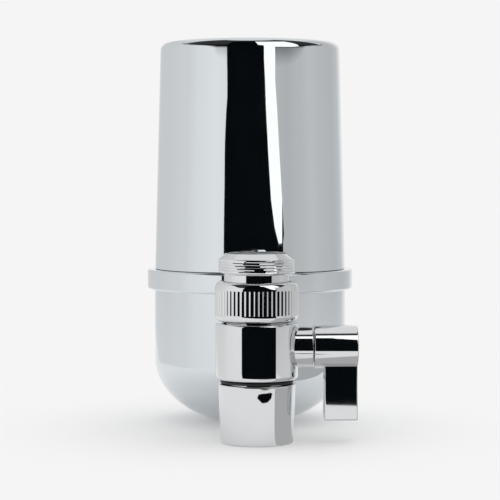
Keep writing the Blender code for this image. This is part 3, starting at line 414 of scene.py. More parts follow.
# %% Carbon and fleece
carbon = Finish("pressed_carbon")
grain = carbon.add("ShaderNodeTexVoronoi", {}, {"Vector": carbon.place, "Scale": 1400.0})
clumps = carbon.noise(500.0, 5.0)
carbon.set("Base Color", carbon.blend((0.012, 0.012, 0.013), (0.06, 0.06, 0.062), grain * clumps))
carbon.set("Roughness", 0.95 - 0.4 * grain)
carbon.bump(grain + clumps, 0.12 * MM)
PRESSED_CARBON = carbon.material

fleece = Finish("pleated_fleece")
fibres = fleece.noise(1600.0, 6.0, (1.0, 1.0, 0.25))
fleece.set("Base Color", fleece.blend((0.87, 0.87, 0.84), (0.76, 0.76, 0.72), fibres))
fleece.set("Roughness", 0.8 + 0.15 * fibres)
fleece.bump(fibres, 0.06 * MM)
WHITE_FLEECE = fleece.material


# %% [markdown]
# ### Bare metals
# Turned brass and steel keep the fine rings of the tool. The rings follow the distance from the
# piece's own axis, which a Mapping node moves to the middle of the pattern.

# %% Brass and steel
def machined(name, bright, shade, rough, axis_place, ring_scale):
    """Bare metal with the rings of the tool round the piece's axis."""
    finish = Finish(name, Metallic=1.0)
    spot = finish.add("ShaderNodeMapping", {}, {"Vector": finish.place, "Location": axis_place})
    settings = {"wave_type": "RINGS", "rings_direction": "Z"}
    rings = finish.add("ShaderNodeTexWave", settings, {"Vector": spot, "Scale": ring_scale, "Distortion": 1.5})
    patches = finish.noise(200.0, 4.0)
    finish.set("Base Color", finish.blend(bright, shade, patches))
    finish.set("Roughness", rough + 0.1 * patches + 0.06 * rings)
    finish.bump(rings, 0.004 * MM)
    return finish.material


BARE_BRASS = machined("bare_brass", (0.8, 0.62, 0.33), (0.72, 0.53, 0.25), 0.22, -DIVERTER, 900.0)
STAINLESS = machined("stainless_steel", (0.62, 0.62, 0.6), (0.54, 0.54, 0.53), 0.25, -DIVERTER, 700.0)

# %% [markdown]
# ## The filter cap
# The cap is the tall upper half of the housing. Its wall narrows towards the top, where it turns into
# the flat crown with a small fillet. Below, a skirt with a thread and a rubber ring screws into the bowl.

# %% Cap
CAP_TAPER = 2.0 * MM
CAP_FILLET = 2.75 * MM
CAP_WALL = 2.4 * MM
SKIRT_WALL = 3.4 * MM
SKIRT_THREAD = 0.55 * MM
RING_SECTION = 0.8 * MM
BOWL_BORE = 29.4 * MM
SEAT_LINE = 0.05 * MM

cap_foot = bowl_high.z + SEAT_LINE
cap_top = cap_high.z
cap_radius = cap_high.x
crown_radius = cap_radius - CAP_TAPER
skirt_foot = cap_low.z
skirt_radius = BOWL_BORE - GAP
skirt_core = skirt_radius - SKIRT_THREAD
skirt_inner = skirt_radius - SKIRT_WALL
roof = cap_top - CAP_WALL
ring_height = skirt_foot + 3.0 * RING_SECTION
groove_half = RING_SECTION + GAP
groove_floor = skirt_radius - 2.0 * RING_SECTION - GAP
thread_foot = ring_height + groove_half + 0.7 * MM

cap_outline = rounded([
    (0.0, cap_top, 0.0),
    (crown_radius, cap_top, CAP_FILLET),
    (cap_radius, cap_foot, 0.25 * MM),
    (skirt_core, cap_foot, 0.0),
    (skirt_core, thread_foot, 0.0),
    (skirt_radius, thread_foot, 0.15 * MM),
    (skirt_radius, ring_height + groove_half, 0.15 * MM),
    (groove_floor, ring_height + groove_half, 0.1 * MM),
    (groove_floor, ring_height - groove_half, 0.1 * MM),
    (skirt_radius, ring_height - groove_half, 0.15 * MM),
    (skirt_radius, skirt_foot, 0.5 * MM),
    (skirt_inner, skirt_foot, 0.3 * MM),
    (skirt_inner, cap_foot + CAP_WALL, 0.8 * MM),
    (cap_radius - CAP_WALL - 0.5 * MM, cap_foot + CAP_WALL + SKIRT_WALL, 2.0 * MM),
    (crown_radius - CAP_WALL, roof, 1.2 * MM),
    (0.0, roof, 0.0),
], ring=False, steps=10)
cap = turned("cap_shell", cap_outline, HOUSING)
print("cap outline:", len(cap_outline), "points, crown at %.1f mm" % (cap_top / MM))

# %% [markdown]
# ## The filter bowl
# The bowl is the domed lower half. A thick collar runs round its rim, and a boss on its front side
# takes the diverter's spigot. The dome is half an ellipse that ends in a small flat foot.
# The boss is joined and its passage is cut with Booleans, as a mould would core it.

# %% Bowl
BOWL_RADIUS = 32.1 * MM
DOME_RISE = 22.2 * MM
FOOT_CUT = 1.5 * MM
DOME_FLOOR = 3.0 * MM
SEAT_TOP = 4.2 * MM
COLLAR_HEIGHT = 6.7 * MM
COLLAR_FILLET = 0.8 * MM
BOSS_RADIUS = 8.0 * MM
SOCKET_RADIUS = 6.3 * MM
SOCKET_DEPTH = 3.2 * MM
PASSAGE_RADIUS = 4.5 * MM
DOME_POINTS = 40

bowl_top = bowl_high.z
collar_radius = bowl_high.x
collar_foot = bowl_top - COLLAR_HEIGHT
dome_centre = DOME_RISE - FOOT_CUT
boss_face = -bowl_low.y


def dome(across, rise, start, end):
    """Corners without fillets on the dome, from one angle to another, in degrees below the level."""
    return [(*point, 0.0) for point in arc(0.0, dome_centre, across, rise, -start, -end, DOME_POINTS)]


inner_rise = dome_centre - DOME_FLOOR
seat_angle = math.degrees(math.asin((dome_centre - SEAT_TOP) / inner_rise))
foot_angle = math.degrees(math.asin(dome_centre / DOME_RISE))
bowl_corners = [(0.0, SEAT_TOP, 0.0)]
bowl_corners += dome(BOWL_BORE, inner_rise, seat_angle, 0.0)
bowl_corners += [
    (BOWL_BORE, bowl_top, 0.5 * MM),
    (collar_radius, bowl_top, COLLAR_FILLET),
    (collar_radius, collar_foot, COLLAR_FILLET),
    (BOWL_RADIUS, collar_foot, 0.2 * MM),
]
bowl_corners += dome(BOWL_RADIUS, DOME_RISE, 0.0, foot_angle)
bowl_corners += [(0.0, bowl_low.z, 0.0)]
bowl = turned("bowl_shell", rounded(bowl_corners, ring=False), HOUSING)

level = Vector((0.0, 0.0, VALVE.z))
boss_outline = rounded([
    (0.0, -BOWL_BORE - 0.8 * MM, 0.0),
    (BOSS_RADIUS, -BOWL_BORE - 0.8 * MM, 0.0),
    (BOSS_RADIUS, -boss_face, 0.4 * MM),
    (0.0, -boss_face, 0.0),
], ring=False)
boss = turned("boss", boss_outline, level, "Y", 96)
combine(bowl, "UNION", boss)
socket = rod("socket", SOCKET_RADIUS, -boss_face - MM, SOCKET_DEPTH - boss_face, level, "Y")
passage = rod("passage", PASSAGE_RADIUS, -boss_face - MM, 8.0 * MM - BOWL_BORE, level, "Y")
combine(bowl, "DIFFERENCE", socket, passage)
settle(bowl, HOUSING_CHROME, "housing", "filter_bowl")

# %% [markdown]
# ## Screw threads
# A thread is a ridge that climbs round a core, so it follows a rule, and Geometry Nodes can grow it
# from five numbers: a spiral curve, swept with a round section that thins out at both ends.
# The same tree makes the cap's coarse thread and the adapter's fine one. A modelled spiral with a
# Screw modifier would work as well, but its sizes couldn't be changed by name.

# %% Build the thread tree
def recipe(name, *inputs):
    """A geometry node tree with named inputs; returns it and its input sockets by name."""
    tree = bpy.data.node_groups.new(name, "GeometryNodeTree")
    tree.interface.new_socket(name="Geometry", in_out="OUTPUT", socket_type="NodeSocketGeometry")
    tree.interface.new_socket(name="Geometry", in_out="INPUT", socket_type="NodeSocketGeometry")
    for label, kind in inputs:
        tree.interface.new_socket(name=label, in_out="INPUT", socket_type="NodeSocket" + kind)
    graph = Graph(tree)
    start = tree.nodes.new("NodeGroupInput")
    given = {socket.name: Value(graph, socket) for socket in start.outputs if socket.name}
    return graph, given


def serve(graph, geometry, material):
    """End a tree in plain geometry with its material."""
    real = graph.add("GeometryNodeRealizeInstances", {}, {"Geometry": geometry})
    painted = graph.add("GeometryNodeSetMaterial", {}, {"Geometry": real, "Material": material})
    end = graph.tree.nodes.new("NodeGroupOutput")
    graph.feed(end.inputs[0], painted)
    return graph.tree


def cooked(name, tree, mesh=None, **inputs):
    """Run a tree on an object and keep the result as a plain mesh."""
    piece = link(bpy.data.objects.new(name, mesh or bpy.data.meshes.new(name)))
    modifier = piece.modifiers.new("recipe", "NODES")
    modifier.node_group = tree
    for item in tree.interface.items_tree:
        if item.in_out == "INPUT" and item.name in inputs:
            modifier[item.identifier] = inputs[item.name]
    return applied(piece)


thread_sizes = ("Core", "Float"), ("Depth", "Float"), ("Pitch", "Float"), ("Turns", "Float"), ("Foot", "Float")
graph, given = recipe("screw_thread", *thread_sizes, ("Centre", "Vector"), ("Material", "Material"))
climb = given["Pitch"] * given["Turns"]
spiral = graph.add("GeometryNodeCurveSpiral", {}, {
    "Resolution": 96, "Rotations": given["Turns"], "Start Radius": given["Core"],
    "End Radius": given["Core"], "Height": climb})
along = graph.add("GeometryNodeSplineParameter", {}, {}, "Factor")
from_ends = graph.add("ShaderNodeMath", {"operation": "PINGPONG"}, {0: along, 1: 0.5})
lead = graph.add("ShaderNodeMath", {"operation": "MINIMUM"}, {0: from_ends * given["Turns"] * 4.0, 1: 1.0})
tapered = graph.add("GeometryNodeSetCurveRadius", {}, {"Curve": spiral, "Radius": lead})
section = graph.add("GeometryNodeCurvePrimitiveCircle", {"mode": "RADIUS"}, {
    "Resolution": 10, "Radius": given["Depth"]})
ridge = graph.add("GeometryNodeCurveToMesh", {}, {
    "Curve": tapered, "Profile Curve": section, "Fill Caps": True})
lift = graph.add("ShaderNodeCombineXYZ", {}, {"Z": given["Foot"]})
spot = graph.add("ShaderNodeVectorMath", {"operation": "ADD"}, {0: lift, 1: given["Centre"]})
placed = graph.add("GeometryNodeTransform", {}, {"Geometry": ridge, "Translation": spot})
joined = graph.add("GeometryNodeJoinGeometry", {}, {"Geometry": [placed, given["Geometry"]]})
THREAD = serve(graph, joined, given["Material"])

# %% [markdown]
# ### The cap's thread and rubber ring
# The coarse thread winds round the skirt's core, and the ring below it lies in its groove and seals.

# %% Thread the cap's skirt
CAP_THREAD_PITCH = 2.2 * MM
cap_thread_room = cap_foot - thread_foot - 1.2 * MM
cap = cooked(
    "cap_shell", THREAD, loose_mesh(cap), Core=skirt_core - 0.05 * MM, Depth=SKIRT_THREAD, Pitch=CAP_THREAD_PITCH,
    Turns=cap_thread_room / CAP_THREAD_PITCH, Foot=thread_foot + 0.4 * MM, Centre=HOUSING,
    Material=HOUSING_CHROME)
settle(cap, HOUSING_CHROME, "cap", "filter_cap")

middle = skirt_radius - RING_SECTION
seal_outline = [
    (middle + RING_SECTION * math.cos(ROUND * i / 16), ring_height - RING_SECTION * math.sin(ROUND * i / 16))
    for i in range(16)
]
cap_seal = turned("cap_o_ring", seal_outline, HOUSING)
settle(cap_seal, BLACK_RUBBER, "cap", "cap_seal_ring")

# %% [markdown]
# ## The diverter's body
# A short upright casting joins everything: the tap above, the outlet below, the lever on its side and
# the housing behind. Its barrel is turned; the side neck and the rear spigot are joined to it, and then
# the valve chamber and the water ways are bored, in the order in which the real one is machined.

# %% Diverter body
BODY_NECK_RADIUS = 9.4 * MM
BODY_NECK_RISE = 0.9 * MM
BODY_TOP_FILLET = 0.6 * MM
BODY_FOOT_FILLET = 1.3 * MM
STEM_BORE = 7.5 * MM
STEM_DEPTH = 4.0 * MM
OUTLET_SOCKET = 9.9 * MM
OUTLET_SOCKET_DEPTH = 3.9 * MM
WATER_WAY = 4.2 * MM
SIDE_NECK_RADIUS = 6.23 * MM
SPIGOT_RADIUS = 6.0 * MM
SPIGOT_DEPTH = 2.9 * MM
SPIGOT_COLLAR = 7.9 * MM
SPIGOT_COLLAR_HEIGHT = 1.6 * MM
SPIGOT_BORE = 3.5 * MM
UNION_RING = 0.7 * MM
CHAMBER_RADIUS = 4.7 * MM
CHAMBER_DEPTH = 8.5 * MM
BREAK = 0.15 * MM

body_radius = -body_low.x
body_foot = body_low.z
body_top = body_high.z - BODY_NECK_RISE
stem_floor = body_high.z - STEM_DEPTH
socket_roof = body_foot + OUTLET_SOCKET_DEPTH
neck_end = body_high.x
body = turned("diverter_barrel", rounded([
    (STEM_BORE, body_high.z, BREAK),
    (BODY_NECK_RADIUS, body_high.z, BREAK),
    (BODY_NECK_RADIUS, body_top, BREAK),
    (body_radius, body_top, BODY_TOP_FILLET),
    (body_radius, body_foot, BODY_FOOT_FILLET),
    (OUTLET_SOCKET, body_foot, BREAK),
    (OUTLET_SOCKET, socket_roof, BREAK),
    (WATER_WAY, socket_roof, BREAK),
    (WATER_WAY, stem_floor, BREAK),
    (STEM_BORE, stem_floor, BREAK),
]), DIVERTER)

branch_root = body_radius - 2.2 * MM
neck = turned("side_neck", rounded([
    (0.0, neck_end, 0.0), (SIDE_NECK_RADIUS, neck_end, 0.25 * MM), (SIDE_NECK_RADIUS, branch_root, 0.0),
    (0.0, branch_root, 0.0)], ring=False), VALVE, "X", SMALL_STEPS)
seat_face = -DIVERTER.y - boss_face
union_ring_place = seat_face + SPIGOT_DEPTH / 2.0
union_half = UNION_RING + GAP
union_floor = SPIGOT_RADIUS - 2.0 * UNION_RING - GAP
collar_back = seat_face - GAP
collar_front = collar_back - SPIGOT_COLLAR_HEIGHT
spigot = turned("rear_spigot", rounded([
    (0.0, seat_face + SPIGOT_DEPTH, 0.0),
    (SPIGOT_RADIUS, seat_face + SPIGOT_DEPTH, 0.1 * MM),
    (SPIGOT_RADIUS, union_ring_place + union_half, 0.0),
    (union_floor, union_ring_place + union_half, 0.0),
    (union_floor, union_ring_place - union_half, 0.0),
    (SPIGOT_RADIUS, union_ring_place - union_half, 0.0),
    (SPIGOT_RADIUS, collar_back, 0.0),
    (SPIGOT_COLLAR, collar_back, 0.2 * MM),
    (SPIGOT_COLLAR, collar_front, 0.2 * MM),
    (SPIGOT_RADIUS, collar_front, 0.0),
    (SPIGOT_RADIUS, branch_root, 0.0),
    (0.0, branch_root, 0.0),
], ring=False), VALVE, "Y", SMALL_STEPS)
combine(body, "UNION", neck, spigot)
rear_bore = rod("rear_bore", SPIGOT_BORE, 0.0, seat_face + SPIGOT_DEPTH + MM, VALVE, "Y")
chamber = rod("chamber", CHAMBER_RADIUS, -CHAMBER_DEPTH, neck_end + MM, VALVE, "X")
combine(body, "DIFFERENCE", rear_bore, chamber)
settle(body, VALVE_CHROME, "housing", "diverter_body")

# %% [markdown]
# ## The union nut
# A hexagon nut pulls the spigot's collar against the boss. A turned blank with chamfered ends is cut by
# a hexagonal prism, which gives the curved edges that every real nut has where chamfer meets flat.

# %% Union nut
UNION_LIP = 1.4 * MM
UNION_LENGTH = 6.7 * MM
UNION_FLATS = 19.4 * MM
UNION_CHAMFER = 0.8 * MM

union_foot = collar_front - GAP - UNION_LIP
union_top = union_foot + UNION_LENGTH
corner = UNION_FLATS / math.sqrt(3.0)
union_nut = turned("union_hex_nut", rounded([
    (0.0, union_top, 0.0),
    (UNION_FLATS / 2.0, union_top, 0.2 * MM),
    (corner + GAP, union_top - UNION_CHAMFER, 0.2 * MM),
    (corner + GAP, union_foot + UNION_CHAMFER, 0.2 * MM),
    (UNION_FLATS / 2.0, union_foot, 0.2 * MM),
    (0.0, union_foot, 0.0),
], ring=False), VALVE, "Y", SMALL_STEPS)
prism = rod("prism", corner, union_foot - MM, union_top + MM, VALVE, "Y", 6)
combine(union_nut, "INTERSECT", prism)
seat_bore = rod("seat_bore", BOSS_RADIUS + GAP, union_foot + UNION_LIP, union_top + MM, VALVE, "Y", 96)
lip_bore = rod("lip_bore", SPIGOT_RADIUS + GAP, union_foot - MM, union_top, VALVE, "Y", 96)
combine(union_nut, "DIFFERENCE", seat_bore, lip_bore)
settle(union_nut, VALVE_CHROME, "housing", "union_nut")

# %% [markdown]
# ## The outlet and its aerator
# The outlet is a tapered sleeve that screws up into the body, with a thin rubber washer in the joint.
# Its mouth holds an aerator: a steel screen, a perforated core and a snap ring.
# The two discs repeat one hole many times, so a tree lays out a hexagonal grid, drops the holes that
# would touch the rim, and cuts the rest with one Boolean.

# %% Outlet shell and washer
OUTLET_TAPER = 0.75 * MM
OUTLET_SPIGOT = 9.6 * MM
OUTLET_SPIGOT_RISE = 4.9 * MM
OUTLET_BORE = 8.0 * MM
AERATOR_BORE = 9.7 * MM
AERATOR_DEPTH = 8.5 * MM

outlet_radius = outlet_high.x
outlet_top = outlet_high.z - OUTLET_SPIGOT_RISE
outlet = turned("outlet_sleeve", rounded([
    (OUTLET_BORE, outlet_high.z, BREAK),
    (OUTLET_SPIGOT, outlet_high.z, BREAK),
    (OUTLET_SPIGOT, outlet_top, 0.0),
    (outlet_radius, outlet_top, 0.3 * MM),
    (outlet_radius - OUTLET_TAPER, outlet_low.z, 0.45 * MM),
    (AERATOR_BORE, outlet_low.z, 0.3 * MM),
    (AERATOR_BORE, AERATOR_DEPTH, BREAK),
    (OUTLET_BORE, AERATOR_DEPTH, BREAK),
]), DIVERTER)
settle(outlet, VALVE_CHROME, "housing", "outlet_shell")
washer_low, washer_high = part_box("outlet_washer")
washer = ring("outlet_gasket", washer_high.x, OUTLET_SPIGOT + GAP, washer_low.z, washer_high.z, 0.1 * MM, DIVERTER)
settle(washer, BLACK_RUBBER, "housing", "outlet_washer")

# %% [markdown]
# ### Rows of holes
# Every second row of the grid is moved by half a pitch, which packs the holes closest. Separate drills
# would cut the same disc, but then its pitch and reach couldn't be changed by name.

# %% Build the perforation tree
graph, given = recipe(
    "perforated_disc", ("Hole Radius", "Float"), ("Pitch", "Float"), ("Rows", "Int"), ("Reach", "Float"),
    ("Middle", "Vector"), ("Depth", "Float"), ("Material", "Material"))
row_step = given["Pitch"] * (math.sqrt(3.0) / 2.0)
grid = graph.add("GeometryNodeMeshGrid", {}, {
    "Size X": given["Pitch"] * (given["Rows"] - 1.0), "Size Y": row_step * (given["Rows"] - 1.0),
    "Vertices X": given["Rows"], "Vertices Y": given["Rows"]})
row = graph.add("ShaderNodeMath", {"operation": "FLOORED_MODULO"}, {
    0: graph.add("GeometryNodeInputIndex"), 1: given["Rows"]})
odd = graph.add("ShaderNodeMath", {"operation": "FLOORED_MODULO"}, {0: row + (given["Rows"] - 1.0) / 2.0, 1: 2.0})
shift = graph.add("ShaderNodeCombineXYZ", {}, {"X": given["Pitch"] * 0.5 * odd})
staggered = graph.add("GeometryNodeSetPosition", {}, {"Geometry": grid, "Offset": shift})
spot = graph.add("GeometryNodeInputPosition")
far = graph.add("ShaderNodeVectorMath", {"operation": "LENGTH"}, {0: spot}, "Value")
outside = graph.add("FunctionNodeCompare", {"data_type": "FLOAT", "operation": "GREATER_THAN"}, {
    "A": far, "B": given["Reach"]})
kept = graph.add("GeometryNodeDeleteGeometry", {"domain": "POINT"}, {"Geometry": staggered, "Selection": outside})
drill = graph.add("GeometryNodeMeshCylinder", {}, {
    "Vertices": 20, "Radius": given["Hole Radius"], "Depth": given["Depth"]}, "Mesh")
drills = graph.add("GeometryNodeInstanceOnPoints", {}, {"Points": kept, "Instance": drill})
at_disc = graph.add("GeometryNodeTransform", {}, {"Geometry": drills, "Translation": given["Middle"]})
cut = graph.add("GeometryNodeMeshBoolean", {"operation": "DIFFERENCE", "solver": "EXACT"}, {
    "Mesh 1": given["Geometry"], "Mesh 2": [graph.add("GeometryNodeRealizeInstances", {}, {"Geometry": at_disc})]},
    "Mesh")
PERFORATION = serve(graph, cut, given["Material"])


# %% Perforated discs of the aerator
def perforated(name, node, hole, pitch, border, finish, body):
    """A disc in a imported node's place, with a hexagonal grid of holes."""
    low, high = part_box(node)
    radius = (high.x - low.x) / 2.0
    outline = rounded([
        (0.0, high.z, 0.0), (radius, high.z, 0.1 * MM), (radius, low.z, 0.1 * MM), (0.0, low.z, 0.0)],
        ring=False, steps=2)
    blank = turned(name + "_blank", outline, DIVERTER, steps=96)
    disc = cooked(name, PERFORATION, loose_mesh(blank), **{
        "Hole Radius": hole, "Pitch": pitch, "Rows": 11, "Reach": radius - hole - border,
        "Middle": (DIVERTER.x, DIVERTER.y, (low.z + high.z) / 2.0), "Depth": high.z - low.z + MM,
        "Material": finish})
    settle(disc, finish, body, node)


perforated("aerator_mesh", "aerator_screen", 0.7 * MM, 1.9 * MM, 0.9 * MM, STAINLESS, "housing")
perforated("aerator_insert", "aerator_core", 0.65 * MM, 1.75 * MM, 1.0 * MM, MESH_PLASTIC, "housing")
snap_low, snap_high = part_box("aerator_ring")
snap_ring = ring(
    "aerator_snap_ring", snap_high.x, snap_high.x - 1.3 * MM, snap_low.z, snap_high.z, 0.3 * MM, DIVERTER)
settle(snap_ring, VALVE_CHROME, "housing", "aerator_ring")

# %% [markdown]
# ## The swivel nut
# The nut that clamps the filter to the tap has a band of grip ribs between two full, rounded edges. It is
# a turned blank with a sunk band, and a tree stands one rib on each point of a circle, all the way round.
# A rib's top is a shallow round. Its middle mirrors what stands in front and its sides mirror the
# walls, so a rib shows a dark and a light bar, also where the rest of the nut is black.
# The foot is counterbored round the body's short neck, so that its edge comes down close to the body.

# %% Blank of the nut
NUT_TOP_EDGE = 2.3 * MM
NUT_TOP_INSET = 1.5 * MM
NUT_FOOT_EDGE = 2.25 * MM
NUT_FOOT_INSET = 1.9 * MM
NUT_CROWN = 0.5 * MM
NUT_SKIRT = 0.75 * MM
NUT_COLLAR = 3.0 * MM
NUT_THREAD_BORE = 10.7 * MM
NUT_COLLAR_BORE = 7.5 * MM
NUT_EDGE_STEPS = 12
RIB_COUNT = 54
RIB_DEPTH = 0.46 * MM
RIB_SHARE = 0.93
RIB_SWEEP = 38.0
RIB_STEPS = 10

nut_radius = nut_high.x
nut_top = nut_high.z + NUT_CROWN
nut_foot = nut_low.z - NUT_SKIRT
rib_top = nut_top - NUT_TOP_EDGE - BREAK
rib_foot = nut_foot + NUT_FOOT_EDGE + BREAK
valley = nut_radius - RIB_DEPTH

blank_outline = [(NUT_THREAD_BORE, nut_top)]
blank_outline += arc(
    nut_radius - NUT_TOP_INSET, rib_top + BREAK, NUT_TOP_INSET, NUT_TOP_EDGE, 90.0, 0.0, NUT_EDGE_STEPS)
blank_outline += [
    (nut_radius, rib_top), (valley, rib_top - 0.1 * MM), (valley, rib_foot + 0.1 * MM), (nut_radius, rib_foot)]
blank_outline += arc(
    nut_radius - NUT_FOOT_INSET, rib_foot - BREAK, NUT_FOOT_INSET, NUT_FOOT_EDGE, 0.0, -90.0, NUT_EDGE_STEPS)
blank_outline += [
    (BODY_NECK_RADIUS + GAP, nut_foot), (BODY_NECK_RADIUS + GAP, nut_low.z), (NUT_COLLAR_BORE, nut_low.z),
    (NUT_COLLAR_BORE, nut_low.z + NUT_COLLAR), (NUT_THREAD_BORE, nut_low.z + NUT_COLLAR)]
nut_mesh = loose_mesh(turned("nut_blank", blank_outline, DIVERTER, steps=4 * RIB_COUNT))
print("nut from %.1f to %.1f mm" % (nut_foot / MM, nut_top / MM))

# %% [markdown]
# ### Ribs in a ring
# One rib is drawn by its section, and the tree turns a copy outward on each point of the circle.

# %% Build the rib tree and stand the ribs
graph, given = recipe(
    "ring_of_ribs", ("Rib", "Object"), ("Count", "Int"), ("Radius", "Float"), ("Middle", "Vector"),
    ("Material", "Material"))
circle = graph.add("GeometryNodeMeshCircle", {}, {"Vertices": given["Count"], "Radius": given["Radius"]})
rib = graph.add("GeometryNodeObjectInfo", {}, {"Object": given["Rib"]}, "Geometry")
outward = graph.add("FunctionNodeAlignRotationToVector", {"axis": "X"}, {
    "Vector": graph.add("GeometryNodeInputPosition")})
ribs = graph.add("GeometryNodeInstanceOnPoints", {}, {"Points": circle, "Instance": rib, "Rotation": outward})
placed = graph.add("GeometryNodeTransform", {}, {"Geometry": ribs, "Translation": given["Middle"]})
joined = graph.add("GeometryNodeJoinGeometry", {}, {"Geometry": [placed, given["Geometry"]]})
RIBS = serve(graph, joined, given["Material"])

rib_pitch = ROUND * nut_radius / RIB_COUNT
rib_length = rib_top - rib_foot + BREAK
half_sweep = math.radians(RIB_SWEEP)
rib_round = RIB_SHARE * rib_pitch / 2.0 / math.sin(half_sweep)
rib_section = [(-RIB_DEPTH - 0.2 * MM, -0.5 * rib_pitch)]
for i in range(RIB_STEPS + 1):
    angle = half_sweep * (2.0 * i / RIB_STEPS - 1.0)
    rib_section.append((rib_round * (math.cos(angle) - 1.0), rib_round * math.sin(angle)))
rib_section.append((-RIB_DEPTH - 0.2 * MM, 0.5 * rib_pitch))
corners_of_rib = len(rib_section)
rib_verts = [(out, aside, end) for end in (-rib_length / 2.0, rib_length / 2.0) for out, aside in rib_section]
rib_faces = [tuple(range(corners_of_rib))[::-1], tuple(range(corners_of_rib, 2 * corners_of_rib))]
for i in range(corners_of_rib):
    j = (i + 1) % corners_of_rib
    rib_faces.append((i, j, j + corners_of_rib, i + corners_of_rib))
rib_mesh = bpy.data.meshes.new("grip_rib")
rib_mesh.from_pydata(rib_verts, [], rib_faces)
grip_rib = link(bpy.data.objects.new("grip_rib", rib_mesh))
swivel_nut = cooked("knurled_swivel_nut", RIBS, nut_mesh, **{
    "Rib": grip_rib, "Count": RIB_COUNT, "Radius": nut_radius - 0.01 * MM,
    "Middle": (DIVERTER.x, DIVERTER.y, (rib_top + rib_foot) / 2.0), "Material": VALVE_CHROME})
bpy.data.objects.remove(grip_rib)
settle(swivel_nut, VALVE_CHROME, "swivel", "swivel_nut")

# %% [markdown]
# ## The threaded adapter
# The adapter screws into the tap in place of its own aerator. It is a turned ring with a wide cone up to
# its rim and a plain neck. The thread tree winds a fine thread round it, half sunk in the core, because
# the real thread is worn soft and shows as low, light ridges.
# In its mouth lie a grey washer and a strainer.

# %% Adapter
ADAPTER_ROOT = 10.4 * MM
ADAPTER_BAND = 10.1 * MM
ADAPTER_BORE = 7.2 * MM
ADAPTER_ROOT_HEIGHT = 4.0 * MM
ADAPTER_BAND_HEIGHT = 2.7 * MM
ADAPTER_UNDERCUT = 0.4 * MM
ADAPTER_CHAMFER = 1.85 * MM
ADAPTER_RIM = 9.65 * MM
ADAPTER_RECESS = 9.2 * MM
ADAPTER_RECESS_DEPTH = 4.1 * MM
ADAPTER_PITCH = 0.86 * MM
ADAPTER_THREAD = 0.45 * MM
ADAPTER_THREAD_SHOWS = 0.22 * MM

adapter_radius = adapter_high.x
spiral_radius = adapter_radius - ADAPTER_THREAD
thread_core = adapter_radius - ADAPTER_THREAD_SHOWS
band_foot = adapter_low.z + ADAPTER_ROOT_HEIGHT
band_top = band_foot + ADAPTER_BAND_HEIGHT
thread_start = band_top + ADAPTER_UNDERCUT
thread_end = adapter_high.z - ADAPTER_CHAMFER
recess_floor = adapter_high.z - ADAPTER_RECESS_DEPTH
adapter = turned("adapter_blank", rounded([
    (ADAPTER_RECESS, adapter_high.z, 0.1 * MM),
    (ADAPTER_RIM, adapter_high.z, 0.2 * MM),
    (adapter_radius, thread_end, 0.25 * MM),
    (thread_core, thread_end - 0.4 * MM, 0.0),
    (thread_core, thread_start + 0.2 * MM, 0.1 * MM),
    (ADAPTER_BAND, band_top, 0.15 * MM),
    (ADAPTER_BAND, band_foot, 0.1 * MM),
    (ADAPTER_ROOT, band_foot, 0.1 * MM),
    (ADAPTER_ROOT, adapter_low.z, 0.2 * MM),
    (ADAPTER_BORE, adapter_low.z, 0.2 * MM),
    (ADAPTER_BORE, recess_floor, 0.1 * MM),
    (ADAPTER_RECESS, recess_floor, 0.1 * MM),
]), DIVERTER)
adapter = cooked(
    "faucet_thread_adapter", THREAD, loose_mesh(adapter), Core=spiral_radius, Depth=ADAPTER_THREAD,
    Pitch=ADAPTER_PITCH, Turns=(thread_end - thread_start - 0.5 * MM) / ADAPTER_PITCH,
    Foot=thread_start + 0.2 * MM, Centre=DIVERTER, Material=VALVE_CHROME)
settle(adapter, VALVE_CHROME, "swivel", "faucet_adapter")

# %% [markdown]
# ### What the nut holds
# A flanged brass sleeve screws into the body, and the nut turns on it between two washers.

# %% Washers, strainer and sleeve of the swivel
def washer_for(name, node, bore, fillet, finish, body):
    """A rounded ring in the place of a packed one."""
    low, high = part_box(node)
    piece = ring(name, (high.x - low.x) / 2.0, bore, low.z, high.z, fillet, DIVERTER)
    settle(piece, finish, body, node)


washer_for("tap_washer", "adapter_washer", 6.4 * MM, 0.35 * MM, GREY_SILICONE, "swivel")
washer_for("swivel_gasket", "swivel_washer", 5.5 * MM, 0.3 * MM, BLACK_RUBBER, "swivel")
perforated("strainer", "inlet_screen", 0.6 * MM, 1.7 * MM, 1.2 * MM, STAINLESS, "swivel")

sleeve_low, sleeve_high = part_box("swivel_sleeve")
FLANGE_HEIGHT = 1.5 * MM
SLEEVE_STEM = 7.2 * MM
SLEEVE_BORE = 5.2 * MM
flange_radius = sleeve_high.x
flange_foot = sleeve_high.z - FLANGE_HEIGHT
sleeve = turned("flanged_sleeve", rounded([
    (SLEEVE_BORE, sleeve_high.z, 0.3 * MM),
    (flange_radius, sleeve_high.z, 0.2 * MM),
    (flange_radius, flange_foot, 0.2 * MM),
    (SLEEVE_STEM, flange_foot, 0.1 * MM),
    (SLEEVE_STEM, sleeve_low.z, 0.3 * MM),
    (SLEEVE_BORE, sleeve_low.z, 0.2 * MM),
]), DIVERTER, steps=SMALL_STEPS)
settle(sleeve, BARE_BRASS, "housing", "swivel_sleeve")

# %% [markdown]
# ## The lever
# A turned barrel sits on the side neck, and a flat blade hangs from it, level with the barrel's outer
# end. The blade's edges are only just broken, so its faces reflect as clean flat panes.
# A square socket takes the spindle, and a recess in the end hides the screw under a small cover.

# %% Lever
BARREL_RADIUS = 6.63 * MM
BARREL_FILLET = 0.35 * MM
BLADE_WIDTH = 10.3 * MM
BLADE_THICKNESS = 6.4 * MM
BLADE_ROOT = 1.7 * MM
BLADE_FILLET = 0.4 * MM
DRIVE_SIDE = 4.3 * MM
DRIVE_END = 24.0 * MM
SCREW_HOLE = 1.5 * MM
RECESS_RADIUS = 4.0 * MM
RECESS_FLOOR = 27.2 * MM

